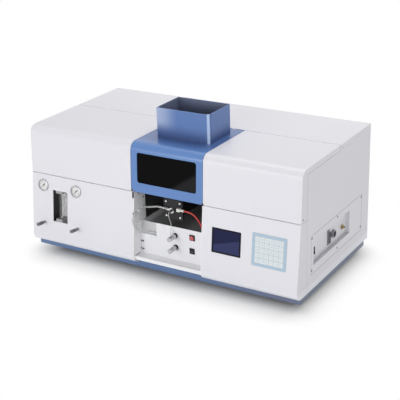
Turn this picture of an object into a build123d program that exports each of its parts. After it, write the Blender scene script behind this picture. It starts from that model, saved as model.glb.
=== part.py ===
from build123d import *
import os
from math import atan2, cos, pi, sin, tan

# A flame spectrometer for the laboratory bench.
# X runs along the front, the front looks towards -Y and Z is up. The origin is on the bench
# top, in the middle of the whole thing. All lengths are in millimetres.
# Names that end in _front say how far something lies in front of the covers' hinge line.

# Cabinet
cabinet_width = 1020
cabinet_height = 442
cabinet_depth = 522  # rear face to the seam across the front
cover_depth = 277  # hinge line to the seam across the front
sheet = 1.5
seam_height = 278
seam_gap = 1.2
lid_lean = 10.5  # how far the front edge of the top lies behind the seam
front_bend = 28
lean_run = 24  # how far the lower front comes forward ...
lean_foot = 66  # ... from the seam down to this height
skirt_height = 31  # lower edge of the outer skins
tuck_bend = 27
lip_depth = 12
lip_bend = 2.5
wrap_depth = 42  # how far the front skins go round the sides
wrap_drop = 18  # height of the lids' side edge
panel_gap = 1
seat_gap = 0.1

# Base tray and feet
foot_height = 12
foot_diameter = 40
foot_inset = 60
foot_edge = 2
tray_wall = 2
tray_height = 34
tray_front_inset = 3
tray_rear_inset = 23
tray_corner = 4

# Covers and their hinge
bay_left = -88  # the burner bay between the lower panels
bay_right = 172.5
hood_left = -97
hood_right = 171
cover_gap = 1.5
hood_cut_width = 12
hood_cut_height = 11
hood_flange = 10
roll_radius = 4
pin_radius = 1.5
pin_clearance = 0.05
lug_width = 12
lug_clearance = 0.5
lug_inset = 40
roll_clearance = 0.6
top_set_back = 3.7
top_flange_set_back = 4.8
top_flange_drop = 16
lug_web = 6

# Window and chimney
window_width = 222
window_height = 100.8
window_bottom = 312
window_centre = 37
window_corner = 8
pane = 3
pane_overlap = 5
pane_top_overlap = 2
chimney_width = 196
chimney_depth = 134
chimney_rise = 98
chimney_wall = 2
chimney_centre = 45.5
chimney_front = 111
chimney_corner = 2.5
chimney_round = 18
flue_lip = 6

# Gauges
gauge_drop = 39  # below the seam
left_gauge_inset = 48  # from the left end of the cabinet
right_gauge_inset = 187
gauge_radius = 21
gauge_bezel = 2.5
gauge_stand_out = 5
gauge_body_radius = 19
gauge_body_depth = 20
gauge_hole_clearance = 0.2
dial_set_back = 1.5
dial_thick = 0.8
needle_lift = 1
needle_thick = 0.6
needle_width = 1.6
needle_reach = 13.5
needle_tail = 7
needle_tail_width = 4
needle_hub = 2.4
needle_shaft = 1
needle_shaft_depth = 8
shaft_clearance = 0.05
needle_rest = 225  # degrees round the dial where zero lies

# Flowmeter
flow_inset = 88  # from the left end of the cabinet to the window
flow_drop = 50
flow_window_width = 62
flow_window_tall = 110
flow_margin = 4
flow_depth = 45
flow_wall = 2
flow_block = 14
flow_block_width = 26
flow_tube_inset = 24.5  # from the window's left edge
flow_tube_set_back = 18
flow_tube_radius = 7
flow_tube_bore = 4.5
float_radius = 4.1
float_length = 9
float_tip = 2

# Needle valves
left_valve_inset = 51
right_valve_inset = 194
left_valve_height = 108
right_valve_height = 109
valve_body = 24
valve_body_depth = 34
valve_neck = 6
valve_nut = 7.5
valve_nut_height = 4
valve_knob_radius = 6
valve_reach = 38
valve_grip = 26
valve_grip_groove = 0.4
valve_grooves = 18
valve_knob_gap = 0.3
valve_waist = 4.6
stem_radius = 3
stem_depth = 24

# Display and keypad
screen_share = 0.2593  # middle of the screen, from the bay to the right end
screen_width = 104
screen_window_tall = 82
screen_drop = 61
screen_corner = 2
module_margin = 6
module_depth = 12
screen_set_back = 0.6
screen_clearance = 0.3
keypad_share = 0.7028
keypad_drop = 103
keypad_width = 118
keypad_tall = 106
keypad_thick = 0.8
keypad_corner = 3
key_pitch_x = 16.3
key_pitch_y = 17.2
key_width = 14
key_tall = 14.2
key_rise = 0.6
key_corner = 1.2
key_columns = 6
key_rows = 5

# Burner bay
pan_floor = 55
pan_thick = 1.5
pan_rear_front = 20
pan_lip_reach = 15  # in front of the seam
pan_lip_top = 57
pan_lip_bottom = 44
cheek_depth = 59
hole_radius = 4.3
upper_hole_set_back = 27
upper_hole_drop = 13.4
middle_hole_set_back = 50
middle_hole_drop = 34
gas_hole_set_back = 48.5
gas_hole_height = 209
drain_outlet_set_back = 9
drain_outlet_height = 207
drain_outlet_size = 10
drain_outlet_reach = 8
liner_gap_left = 10  # between the cheeks and the liner
liner_gap_right = 1
liner_set_back = 15  # behind the seam
liner_rear_front = 3.5
liner_top = 426
liner_bevel = 32
beam_front = 111
beam_height = 312
beam_hole = 18
lens_radius = 20
lens_thick = 8
lens_clearance = 0.05
boss_radius = 25
boss_length = 16
boss_step = 2
tray_shelf = 14
drip_top = 166
drip_set_back = 36
drip_rear_front = 28
drip_thick = 1.2
drip_flange_right = -25
drip_rim = 4

# Control box in the bay
box_set_back = 25
box_depth = 70
box_wall = 1.5
box_low_top = 125
box_high_top = 163
box_rim_top = 172
box_step = -24
box_screw_inset = 7
knob_x = 50
height_knob_z = 142
oxidant_knob_z = 101
knob_radius = 8
knob_length = 34
knob_collar = 9
knob_collar_length = 6
knob_gap = 0.3
pointer_width = 1.6
pointer_depth = 0.8
knob_shaft = 3
bush_radius = 8
bush_length = 14
oxidant_shaft_length = 30
button_x = 113.5
button_z = 146.5
button_bezel = 20
button_stand_out = 6
button_clearance = 0.4
button_edge = 1.2
button_skirt = 6
button_stem = 3
button_stem_length = 5
button_depth = 20
bezel_rise = 2
bezel_wall = 1.5
switch_x = 111.5
switch_z = 99
switch_width = 19
switch_tall = 20
switch_depth = 16
switch_clearance = 0.4
rocker_axle = 1
rocker_axle_clearance = 0.05
rocker_skirt = 3
rocker_valley = 0.8
rocker_tilt = 10

# Burner
burner_x = 42
plate_set_back = 30
plate_thick = 8
plate_width = 72
plate_tall = 68
plate_corner = 8
chamber_height = 230
chamber_width = 60
chamber_tall = 56
chamber_corner = 16
chamber_rear_front = 75
chamber_wall = 4
neck_radius = 17
neck_top = 270
neck_bore = 12
neck_clearance = 0.05
head_gap = 0.3
head_top = 300
head_length = 112
head_width = 24
head_top_width = 14
head_shoulder = 288
head_slot_length = 100
head_slot = 1.2
head_slot_depth = 22
head_spigot = 24
nebulizer_radius = 9
nebulizer_length = 12
nebulizer_nose = 5
nebulizer_nose_length = 7
nebulizer_ring = 1.2
gas_barb_forward = 7  # in front of the chamber's end plate
gas_barb_radius = 3.5
gas_barb_length = 6
elbow_x = 66
elbow_height = 234
elbow_size = 12
elbow_tall = 10
elbow_reach = 10
elbow_end = 86
elbow_radius = 4
elbow_forward = 5

# Burner lift
rail_width = 40
rail_foot_width = 24
rail_depth = 8.5
rail_lip = 4
rail_bottom = 118
rail_top = 330
slide_clearance = 0.1
carriage_width = 60
carriage_bottom = 200
carriage_top = 260
carriage_depth = 28
arm_width = 30
arm_tall = 30
lift_travel = 10
gear_teeth = 16
gear_pitch_radius = 6.4
gear_width = 10
tooth_top = 0.45
tooth_root = 0.75
tooth_base_width = 1.25
tooth_tip_width = 0.7
rack_width = 9
rack_bottom = 122
gear_front = 14  # rear face of the pinion and of the rack

# Hoses: outer diameters
gas_hose_diameter = 6
fuel_hose_diameter = 6
drain_hose_diameter = 6
capillary_diameter = 2.2

# Right side: service plate
plate_top = 213
plate_bottom = 84
service_set_back = 72  # front edge of the plate, behind the seam
service_rear_share = 0.7551  # its rear edge, from the hinge line to the rear face
plate_edge_gap = 0.3
recess_top = 192
recess_bottom = 111
recess_inset = 17  # from the plate's front edge
recess_rear_share = 0.351
recess_depth = 14
recess_wall = 1.5
ring_overlap = 14
screw_head = 4
screw_shank = 2
screw_cone = 2
screw_length = 8
screw_clearance = 0.05
plate_screw_inset = 5
plate_screw_top_inset = 8
plate_screw_low_inset = 13
mains_inset = 33  # from the recess's front end
mains_height = 143
mains_width = 11
mains_tall = 25
mains_rim = 1
data_share = 0.5073  # of the recess, from its front end
data_height = 146.5
data_width = 17
data_tall = 51
data_rise = 6
data_shell = 12
data_shell_tall = 40
data_wall = 1
data_pin_pitch = 2.8
data_pins = 13
data_pin_radius = 0.5
round_share = 0.6241
round_height = 147
round_radius = 13.5
round_bore = 10
round_rise = 8
round_body = 12
round_pins = 6
round_pin_circle = 6
round_pin_radius = 1
socket_depth = 14
gas_share = 0.8832
gas_inlet_height = 143
gas_nut = 8
gas_nut_length = 5
gas_barb = 4
gas_barb_tip = 3
gas_barb_reach = 7
gas_bore = 1.6
gas_thread = 6
gas_thread_depth = 16

# Rear
mains_inlet_inset = 130  # from the right end of the cabinet
mains_inlet_z = 90
inlet_width = 27.5
inlet_tall = 20
inlet_flange = 4
inlet_depth = 22
inlet_wall = 2
inlet_pin_width = 4
inlet_pin_thick = 2
inlet_pin_length = 14
inlet_pin_pitch = 7
vent_width = 60
vent_tall = 5
vent_pitch = 12
vent_rows = 8
vent_inset = 180
vent_z = 300
rear_screw_inset = 30

# Inside
bench_height = 205
bench_thick = 12
bench_left_inset = 24
bench_right_inset = 30
bench_left_gap = 16  # between the bay and the bench
bench_right_gap = 7.5
bench_set_back = 77
bench_rear_inset = 45
bench_bridge_back = 15
leg_radius = 12
leg_inset = 20
turret_front = 56
lamp_circle = 55
turret_shaft = 8
turret_clearance = 0.05
pedestal_width = 22
pedestal_depth = 48
pedestal_rise = 24
disc_radius = 82
rear_disc_inset = 110  # from the left end of the cabinet
rear_disc_thick = 10
front_disc_inset = 190
front_disc_thick = 12
turret_collar = 12
turret_collar_length = 16
lamp_radius = 18.5
lamp_clearance = 0.1
lamp_inset = 70
lamp_length = 165
lamp_base = 15
lamp_base_radius = 17
lamp_count = 4
case_set_back = 87
case_back = 60
case_top = 400
case_wall = 5
case_gap = 27.5  # between the bay and the case
slit_width = 4
slit_tall = 20
mirror_radius = 18
mirror_thick = 10
exit_back = 35
grating_inset = 50  # from the case's left face
grating_front = 38
table_radius = 30
table_thick = 8
table_gap = 0.3
spindle_radius = 6
post_radius = 10
grating_width = 50
grating_thick = 12
grating_tall = 50
detector_length = 70
detector_depth = 50
detector_tall = 45
detector_foot = 30
transformer_inset = 200  # from the right end of the cabinet
transformer_width = 120
transformer_rear_inset = 65
transformer_depth = 100
transformer_tall = 90
core_margin = 18
board_gap = 47.5  # between the bay and the board
board_right_inset = 70
board_set_back = 117
board_rear_gap = 40  # to the transformer
board_height = 34
board_thick = 2
standoff_radius = 4
standoff_inset = 10
chip_size = 26
chip_tall = 5
chip_rows = 3
chip_pitch_share = 0.25  # of the board's shorter side

overrun = 5  # how far cuts run past a face
half_circle = 180  # degrees
hose_bend_share = 0.45  # of the shorter run beside a bend

# Derived sizes
lean = atan2(lean_run, seam_height - lean_foot)
lean_cos = cos(lean)
lean_sin = sin(lean)
valve_tip_reach = (
    (seam_height - left_valve_height) * tan(lean) + valve_reach * lean_cos + valve_knob_radius * lean_sin
)
y_back = (cabinet_depth + valve_tip_reach) / 2
y_front = y_back - cabinet_depth
y_hinge = y_front + cover_depth
hinge_to_back = cabinet_depth - cover_depth
y_top_front = y_front + lid_lean
x_right = cabinet_width / 2
x_left = -x_right
lid_bottom = seam_height + seam_gap
hinge_height = cabinet_height - roll_radius
top_under = cabinet_height - sheet
tray_top = foot_height + tray_height
tray_floor = foot_height + tray_wall
tray_front = y_front + tray_front_inset
tray_rear = y_back - tray_rear_inset
tray_right = x_right - sheet
tray_depth = tray_rear - tray_front
cover_lean = atan2(lid_lean, cabinet_height - lid_bottom)
skirt_front = y_front - (seam_height - skirt_height) * tan(lean)
left_lid_end = hood_left - cover_gap
right_lid_start = hood_right + cover_gap
burner_y = y_hinge - beam_front
liner_left = bay_left - liner_gap_left
liner_right = bay_right + liner_gap_right
liner_rear = y_hinge - liner_rear_front
gauge_height = seam_height - gauge_drop
left_gauge = x_left + left_gauge_inset
right_gauge = x_left + right_gauge_inset
flow_left = x_left + flow_inset
flow_right = flow_left + flow_window_width
flow_top = seam_height - flow_drop
flow_bottom = flow_top - flow_window_tall
left_valve = x_left + left_valve_inset
right_valve = x_left + right_valve_inset
right_room = x_right - bay_right
screen_left = bay_right + screen_share * right_room - screen_width / 2
screen_right = screen_left + screen_width
screen_top = seam_height - screen_drop
screen_bottom = screen_top - screen_window_tall
keypad_centre = bay_right + keypad_share * right_room
keypad_height = seam_height - keypad_drop
flow_tube_centre = flow_left + flow_tube_inset
pan_lip_front = cover_depth + pan_lip_reach
upper_hole_height = seam_height - upper_hole_drop
middle_hole_height = seam_height - middle_hole_drop
cheek_rear_front = cover_depth - cheek_depth
upper_hole_front = cover_depth - upper_hole_set_back
middle_hole_front = cover_depth - middle_hole_set_back
gas_hole_front = cover_depth - gas_hole_set_back
drain_outlet_front = cover_depth - drain_outlet_set_back
liner_front = cover_depth - liner_set_back
drip_front = cover_depth - drip_set_back
box_front = cover_depth - box_set_back
plate_front = cover_depth - plate_set_back
gas_barb_front = plate_front + gas_barb_forward
elbow_front = plate_front + elbow_forward
plate_front_front = cover_depth - service_set_back
plate_rear_back = service_rear_share * hinge_to_back
recess_front_front = plate_front_front - recess_inset
recess_rear_back = recess_rear_share * hinge_to_back
recess_long = recess_front_front + recess_rear_back
mains_front = recess_front_front - mains_inset
data_front = recess_front_front - data_share * recess_long
round_front = recess_front_front - round_share * recess_long
gas_inlet_back = gas_share * recess_long - recess_front_front
plate_screw_front = plate_front_front - plate_screw_inset
plate_screw_back = plate_rear_back - plate_screw_inset
plate_screw_middle = (plate_screw_front - plate_screw_back) / 2
plate_screw_top = plate_top - plate_screw_top_inset
plate_screw_bottom = plate_bottom + plate_screw_low_inset
case_front = cover_depth - case_set_back
board_front = cover_depth - board_set_back
transformer_back = hinge_to_back - transformer_rear_inset - transformer_depth
mains_inlet_x = x_right - mains_inlet_inset
vent_x = x_right - vent_inset

front_face = Plane(origin=(0, y_front, seam_height), x_dir=(1, 0, 0), z_dir=(0, -lean_cos, lean_sin))
hood_face = Plane(
    origin=(0, y_front, lid_bottom), x_dir=(1, 0, 0), z_dir=(0, -cos(cover_lean), sin(cover_lean))
)
grow = (Align.CENTER, Align.CENTER, Align.MIN)


def block(x0, x1, y0, y1, z0, z1, mode=Mode.ADD):
    """A block between two corners."""
    with Locations(((x0 + x1) / 2, (y0 + y1) / 2, (z0 + z1) / 2)):
        Box(x1 - x0, y1 - y0, z1 - z0, mode=mode)


def rod(start, end, radius, mode=Mode.ADD):
    """A round bar from one point to another."""
    run = Vector(*end) - Vector(*start)
    with Locations(Plane(origin=start, z_dir=run)):
        Cylinder(radius, run.length, align=grow, mode=mode)


def bent(points, bends, thickness):
    """Edges of the section of a bent sheet, whose outer side runs through the points."""
    with BuildLine() as outline:
        FilletPolyline(points, radius=bends)
        offset(amount=thickness, side=Side.LEFT)
    return outline.edges()


def front_spot(x, z, out=0):
    """A plane on the lower front face, at a width and a height, that stands out by a length."""
    spot = front_face.from_local_coords((x, (z - seam_height) / lean_cos, out))
    return Plane(origin=spot, x_dir=(1, 0, 0), z_dir=front_face.z_dir)


def tube_path(points):
    """A hose route: straight runs joined by arcs as large as the runs allow."""
    vectors = [Vector(*point) for point in points]
    radii = []
    for before, here, after in zip(vectors, vectors[1:], vectors[2:]):
        turn = (here - before).get_angle(after - here)
        shorter = min((here - before).length, (after - here).length)
        radii.append(hose_bend_share * shorter / tan(turn * pi / half_circle / 2))
    with BuildLine() as route:
        FilletPolyline(points, radius=radii)
    path = route.wire()
    print("radii", [round(radius, 1) for radius in radii], "length", round(path.length, 1))
    return path


os.makedirs("parts", exist_ok=True)

# Base tray
with BuildPart() as base_tray:
    with BuildSketch(Plane.XY.offset(foot_height)):
        with Locations((0, (tray_front + tray_rear) / 2)):
            RectangleRounded(2 * tray_right, tray_depth, tray_corner)
    extrude(amount=tray_height)
    offset(amount=-tray_wall, openings=base_tray.faces().sort_by(Axis.Z)[-1])
base_tray.part.label = "base_tray"
export_step(base_tray.part, "parts/base_tray.step")

# Rubber feet
with BuildPart() as feet:
    with BuildSketch():
        with Locations((0, (tray_front + tray_rear) / 2)):
            with GridLocations(2 * (tray_right - foot_inset), tray_depth - 2 * foot_inset, 2, 2):
                Circle(foot_diameter / 2)
    extrude(amount=foot_height)
    chamfer(feet.edges().group_by(Axis.Z)[0], length=foot_edge)
feet.part.label = "feet"
export_step(feet.part, "parts/feet.step")


# Covers: one bent sheet each, from the hinge over the front edge down to the seam
cover_line = [
    (y_hinge, cabinet_height),
    (y_top_front, cabinet_height),
    (y_front, lid_bottom),
    (y_front + lip_depth, lid_bottom),
]
lug_places = [
    x_left + lug_inset,
    left_lid_end - lug_inset,
    hood_left + lug_inset,
    hood_right - lug_inset,
    right_lid_start + lug_inset,
    x_right - lug_inset,
]
cover_ends = [(x_left, left_lid_end), (hood_left, hood_right), (right_lid_start, x_right)]
strip_rear = y_hinge - 2 * panel_gap
flange_rear = y_hinge - roll_radius - 2 * panel_gap
lug_half = lug_width / 2


def cover_skin(x0, x1):
    """The bent sheet of a cover with its rolled hinge edge, notched for the fixed lugs."""
    with BuildSketch(Plane.YZ.offset(x0)) as section:
        make_face(bent(cover_line, [front_bend, lip_bend], sheet))
        with Locations((y_hinge, hinge_height)):
            Circle(roll_radius)
            Circle(pin_radius + pin_clearance, mode=Mode.SUBTRACT)
    extrude(section.sketch, amount=x1 - x0)
    for place in lug_places:
        if x0 < place < x1:
            block(
                place - lug_half - lug_clearance,
                place + lug_half + lug_clearance,
                y_hinge - roll_radius - roll_clearance,
                y_hinge + roll_radius + overrun,
                hinge_height - roll_radius - overrun,
                cabinet_height + overrun,
                Mode.SUBTRACT,
            )


def inner_edge(depth, drop, rear, bevel):
    """Inner edge of a cover's end wall: up behind the front, then back below the top."""
    corner = cabinet_height - drop
    return [
        (y_front + depth, lid_bottom),
        (y_front + depth, corner - bevel),
        (y_front + depth + bevel, corner),
        (rear, corner),
    ]


def cover_end(x0, x1, edge):
    """The flat end wall of a cover, from its outline to the given inner edge."""
    rear = edge[-1][0]
    with BuildSketch(Plane.YZ.offset(x0)) as section:
        with BuildLine():
            FilletPolyline(
                [(rear, cabinet_height), (y_top_front, cabinet_height), (y_front, lid_bottom)],
                radius=[front_bend],
            )
            Polyline((y_front, lid_bottom), *edge, (rear, cabinet_height))
        make_face()
    extrude(section.sketch, amount=x1 - x0)


outer_wrap = inner_edge(wrap_depth, wrap_drop, strip_rear, sheet)
inner_flange = inner_edge(lip_depth, lip_depth, flange_rear, front_bend)
hood_edge = inner_edge(hood_flange, hood_flange, flange_rear, front_bend)
with BuildPart() as left_lid:
    cover_skin(x_left, left_lid_end)
    cover_end(x_left, x_left + sheet, outer_wrap)
    cover_end(left_lid_end - sheet, left_lid_end, inner_flange)
left_lid.part.label = "left_lid"
export_step(left_lid.part, "parts/left_lid.step")

with BuildPart() as right_lid:
    cover_skin(right_lid_start, x_right)
    cover_end(x_right - sheet, x_right, outer_wrap)
    cover_end(right_lid_start, right_lid_start + sheet, inner_flange)
right_lid.part.label = "right_lid"
export_step(right_lid.part, "parts/right_lid.step")

# Hood over the burner bay, with its window and the opening of the chimney
window_middle = (window_bottom - lid_bottom) / cos(cover_lean) + window_height / 2
window_place = Plane(
    origin=hood_face.from_local_coords((window_centre, window_middle, 0)),
    x_dir=(1, 0, 0),
    z_dir=hood_face.z_dir,
)
flue_width = chimney_width - 2 * (chimney_wall + flue_lip)
flue_depth = chimney_depth - 2 * (chimney_wall + flue_lip)
chimney_y = y_hinge - chimney_front
with BuildPart() as hood:
    cover_skin(hood_left, hood_right)
    cover_end(hood_left, hood_left + sheet, hood_edge)
    cover_end(hood_right - sheet, hood_right, hood_edge)
    with BuildSketch(window_place):
        RectangleRounded(window_width, window_height, window_corner)
    extrude(amount=overrun, both=True, mode=Mode.SUBTRACT)
    with BuildSketch(Plane.XY.offset(cabinet_height)):
        with Locations((chimney_centre, chimney_y)):
            Rectangle(flue_width, flue_depth)
    extrude(amount=overrun, both=True, mode=Mode.SUBTRACT)
    with BuildSketch(Plane.XZ.offset(-(y_front + lip_depth + overrun))):
        with BuildLine():
            Polyline(
                (hood_left, lid_bottom),
                (hood_left + hood_cut_width, lid_bottom),
                (hood_left, lid_bottom + hood_cut_height),
                close=True,
            )
        make_face()
    extrude(amount=lip_depth + 2 * overrun, mode=Mode.SUBTRACT)
hood.part.label = "hood"
export_step(hood.part, "parts/hood.step")

with BuildPart() as hood_window:
    with BuildSketch(window_place.offset(-sheet)):
        with Locations((0, (pane_top_overlap - pane_overlap) / 2)):
            Rectangle(window_width + 2 * pane_overlap, window_height + pane_overlap + pane_top_overlap)
    extrude(amount=-pane)
hood_window.part.label = "hood_window"
export_step(hood_window.part, "parts/hood_window.step")

with BuildPart() as chimney:
    with BuildSketch(Plane.XY.offset(cabinet_height)) as plan:
        with Locations((chimney_centre, chimney_y)):
            Rectangle(chimney_width, chimney_depth)
        fillet(plan.vertices().group_by(Axis.X)[-1].sort_by(Axis.Y)[0], radius=chimney_round)
        left_corners = plan.vertices().group_by(Axis.X)[0]
        rear_right_corner = plan.vertices().group_by(Axis.Y)[-1].sort_by(Axis.X)[-1:]
        fillet(left_corners + rear_right_corner, radius=chimney_corner)
    extrude(amount=chimney_rise)
    ends = chimney.faces().sort_by(Axis.Z)
    offset(amount=-chimney_wall, openings=[ends[0], ends[-1]])
    with BuildSketch(Plane.XY.offset(cabinet_height)):
        with Locations((chimney_centre, chimney_y)):
            Rectangle(flue_width + flue_lip + chimney_wall, flue_depth + flue_lip + chimney_wall)
            Rectangle(flue_width, flue_depth, mode=Mode.SUBTRACT)
    extrude(amount=chimney_wall)
chimney.part.label = "chimney"
export_step(chimney.part, "parts/chimney.step")

# Fixed top behind the seam, with the lugs that carry the covers
flange_y = y_hinge + top_flange_set_back
with BuildPart() as top_panel:
    block(x_left, x_right, y_hinge + top_set_back, y_back, top_under, cabinet_height)
    block(-tray_right, tray_right, flange_y, flange_y + sheet, cabinet_height - top_flange_drop, top_under)
    for place in lug_places:
        rod(
            (place - lug_half, y_hinge, hinge_height),
            (place + lug_half, y_hinge, hinge_height),
            roll_radius,
        )
        block(
            place - lug_half,
            place + lug_half,
            y_hinge,
            flange_y,
            hinge_height - lug_web / 2,
            hinge_height + lug_web / 2,
        )
    rod(
        (x_left, y_hinge, hinge_height),
        (x_right, y_hinge, hinge_height),
        pin_radius + pin_clearance,
        Mode.SUBTRACT,
    )
top_panel.part.label = "top_panel"
export_step(top_panel.part, "parts/top_panel.step")

with BuildPart() as hinge_pins:
    for x0, x1 in cover_ends:
        rod((x0 + panel_gap, y_hinge, hinge_height), (x1 - panel_gap, y_hinge, hinge_height), pin_radius)
hinge_pins.part.label = "hinge_pins"
export_step(hinge_pins.part, "parts/hinge_pins.step")

# Side panels: a step in the upper edge passes under the rolled edge of the lids
side_front = y_front + wrap_depth + panel_gap
strip_under = cabinet_height - wrap_drop - panel_gap
roll_under = hinge_height - roll_radius - roll_clearance
side_outline = [
    (side_front, skirt_height),
    (side_front, strip_under),
    (y_hinge - panel_gap, strip_under),
    (y_hinge - panel_gap, roll_under),
    (y_hinge + roll_radius + roll_clearance, roll_under),
    (y_hinge + roll_radius + roll_clearance, top_under),
    (y_back, top_under),
    (y_back, skirt_height),
]
service_y = y_hinge + (plate_rear_back - plate_front_front) / 2
service_z = (plate_top + plate_bottom) / 2
service_long = plate_rear_back + plate_front_front
service_tall = plate_top - plate_bottom
plate_screw_spots = [
    (y_hinge + along, up)
    for along in (-plate_screw_front, -plate_screw_middle, plate_screw_back)
    for up in (plate_screw_bottom, plate_screw_top)
]

with BuildPart() as left_side_panel:
    with BuildSketch(Plane.YZ.offset(x_left)):
        with BuildLine():
            Polyline(*side_outline, close=True)
        make_face()
    extrude(amount=sheet)
left_side_panel.part.label = "left_side_panel"
export_step(left_side_panel.part, "parts/left_side_panel.step")


def flush_screw(spot, x, extra):
    """Body of a flush screw that points into the cabinet from a face at x."""
    with Locations(Plane(origin=(x, *spot), z_dir=(-1, 0, 0))):
        Cone(screw_head + extra, screw_shank + extra, screw_cone, align=grow)
        Cylinder(screw_shank + extra, screw_length, align=grow)


with BuildPart() as screw_room:
    for spot in plate_screw_spots:
        flush_screw(spot, x_right, screw_clearance)

with BuildPart() as right_side_panel:
    with BuildSketch(Plane.YZ.offset(tray_right)):
        with BuildLine():
            Polyline(*side_outline, close=True)
        make_face()
        with Locations((service_y, service_z)):
            Rectangle(
                service_long + 2 * plate_edge_gap, service_tall + 2 * plate_edge_gap, mode=Mode.SUBTRACT
            )
    extrude(amount=sheet)
    with BuildSketch(Plane.YZ.offset(tray_right)):
        with Locations((service_y, service_z)):
            Rectangle(service_long + ring_overlap, service_tall + ring_overlap)
            Rectangle(service_long - 2 * ring_overlap, service_tall - 2 * ring_overlap, mode=Mode.SUBTRACT)
    extrude(amount=-sheet)
    add(screw_room.part, mode=Mode.SUBTRACT)
right_side_panel.part.label = "right_side_panel"
export_step(right_side_panel.part, "parts/right_side_panel.step")

# Service plate with its recess, seen in the right side
recess_x = x_right - recess_depth
mains_spot = (y_hinge - mains_front, mains_height)
data_spot = (y_hinge - data_front, data_height)
round_spot = (y_hinge - round_front, round_height)
gas_spot = (y_hinge + gas_inlet_back, gas_inlet_height)
with BuildPart() as service_plate:
    with BuildSketch(Plane.YZ.offset(tray_right)):
        with Locations((service_y, service_z)):
            Rectangle(service_long, service_tall)
    extrude(amount=sheet)
    block(
        recess_x - recess_wall,
        tray_right,
        y_hinge - recess_front_front - recess_wall,
        y_hinge + recess_rear_back + recess_wall,
        recess_bottom - recess_wall,
        recess_top + recess_wall,
    )
    block(
        recess_x,
        x_right + overrun,
        y_hinge - recess_front_front,
        y_hinge + recess_rear_back,
        recess_bottom,
        recess_top,
        Mode.SUBTRACT,
    )
    add(screw_room.part, mode=Mode.SUBTRACT)
    with BuildSketch(Plane.YZ.offset(recess_x)):
        with Locations(mains_spot):
            Rectangle(mains_width - 2 * mains_rim, mains_tall - 2 * mains_rim)
        with Locations(data_spot):
            Rectangle(data_shell, data_shell_tall)
        with Locations(round_spot):
            Circle(round_body)
        with Locations(gas_spot):
            Circle(gas_thread)
    extrude(amount=overrun, both=True, mode=Mode.SUBTRACT)
service_plate.part.label = "service_plate"
export_step(service_plate.part, "parts/service_plate.step")

# Rear panel with vents and the opening of the mains inlet
rear_skirt = skirt_height + lip_depth / 2
rear_screw_spots = [
    (x, z)
    for x in (-tray_right + rear_screw_inset, 0, tray_right - rear_screw_inset)
    for z in (rear_skirt + rear_screw_inset, top_under - rear_screw_inset)
]


def rear_screw(spot, extra):
    """Body of a flush screw that points into the cabinet from the rear face."""
    with Locations(Plane(origin=(spot[0], y_back, spot[1]), z_dir=(0, -1, 0))):
        Cone(screw_head + extra, screw_shank + extra, screw_cone, align=grow)
        Cylinder(screw_shank + extra, screw_length, align=grow)


with BuildPart() as rear_panel:
    block(-tray_right, tray_right, y_back - sheet, y_back, rear_skirt, top_under)
    block(-tray_right, tray_right, tray_rear, y_back, rear_skirt, rear_skirt + sheet)
    with BuildSketch(Plane.XZ.offset(-y_back)):
        with Locations((-vent_x, vent_z), (0, vent_z), (vent_x, vent_z)):
            with GridLocations(0, vent_pitch, 1, vent_rows):
                SlotOverall(vent_width, vent_tall)
        with Locations((mains_inlet_x, mains_inlet_z)):
            Rectangle(inlet_width, inlet_tall)
    extrude(amount=overrun, both=True, mode=Mode.SUBTRACT)
    for spot in rear_screw_spots:
        with Locations(Plane(origin=(spot[0], y_back, spot[1]), z_dir=(0, -1, 0))):
            Cone(
                screw_head + screw_clearance,
                screw_shank + screw_clearance,
                screw_cone,
                align=grow,
                mode=Mode.SUBTRACT,
            )
rear_panel.part.label = "rear_panel"
export_step(rear_panel.part, "parts/rear_panel.step")

# Lower front panels: lip under the seam, leaning front, tuck under the lower edge
panel_line = [
    (y_front + lip_depth, seam_height),
    (y_front, seam_height),
    (skirt_front, skirt_height),
    (tray_front, skirt_height),
]


def panel_skin(x0, x1):
    """The bent sheet of a lower front panel."""
    with BuildSketch(Plane.YZ.offset(x0)) as section:
        make_face(bent(panel_line, [lip_bend, tuck_bend], sheet))
    extrude(section.sketch, amount=x1 - x0)


def panel_end(x0, x1, inner_edge):
    """The flat end wall of a lower front panel, closed along the given inner edge."""
    with BuildSketch(Plane.YZ.offset(x0)) as section:
        with BuildLine():
            FilletPolyline([inner_edge[-1], *panel_line[1:]], radius=[lip_bend, tuck_bend])
            Polyline(panel_line[-1], *inner_edge)
        make_face()
    extrude(section.sketch, amount=x1 - x0)


def front_cut(x0, x1, z0, z1, corner):
    """An opening through the lower front, square to its face."""
    with BuildSketch(front_spot((x0 + x1) / 2, (z0 + z1) / 2)) as opening:
        RectangleRounded(x1 - x0, (z1 - z0) / lean_cos, corner)
    extrude(opening.sketch, amount=overrun, both=True, mode=Mode.SUBTRACT)


wrap_edge = [(y_front + wrap_depth, skirt_height), (y_front + wrap_depth, seam_height)]
bay_edge = [
    (tray_front, skirt_height + lip_depth),
    (tray_front - seat_gap, tray_top),
    (y_front + lip_depth, seam_height),
]
left_valve_spot = front_spot(left_valve, left_valve_height)
right_valve_spot = front_spot(right_valve, right_valve_height)
with BuildPart() as left_front_panel:
    panel_skin(x_left, bay_left)
    panel_end(x_left, x_left + sheet, wrap_edge)
    panel_end(bay_left - sheet, bay_left, bay_edge)
    front_cut(flow_left, flow_right, flow_bottom, flow_top, screen_corner)
    with Locations(front_spot(left_gauge, gauge_height), front_spot(right_gauge, gauge_height)):
        Cylinder(gauge_body_radius + gauge_hole_clearance, 2 * overrun, mode=Mode.SUBTRACT)
    with Locations(left_valve_spot, right_valve_spot):
        Cylinder(valve_neck, 2 * overrun, mode=Mode.SUBTRACT)
left_front_panel.part.label = "left_front_panel"
export_step(left_front_panel.part, "parts/left_front_panel.step")

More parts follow.
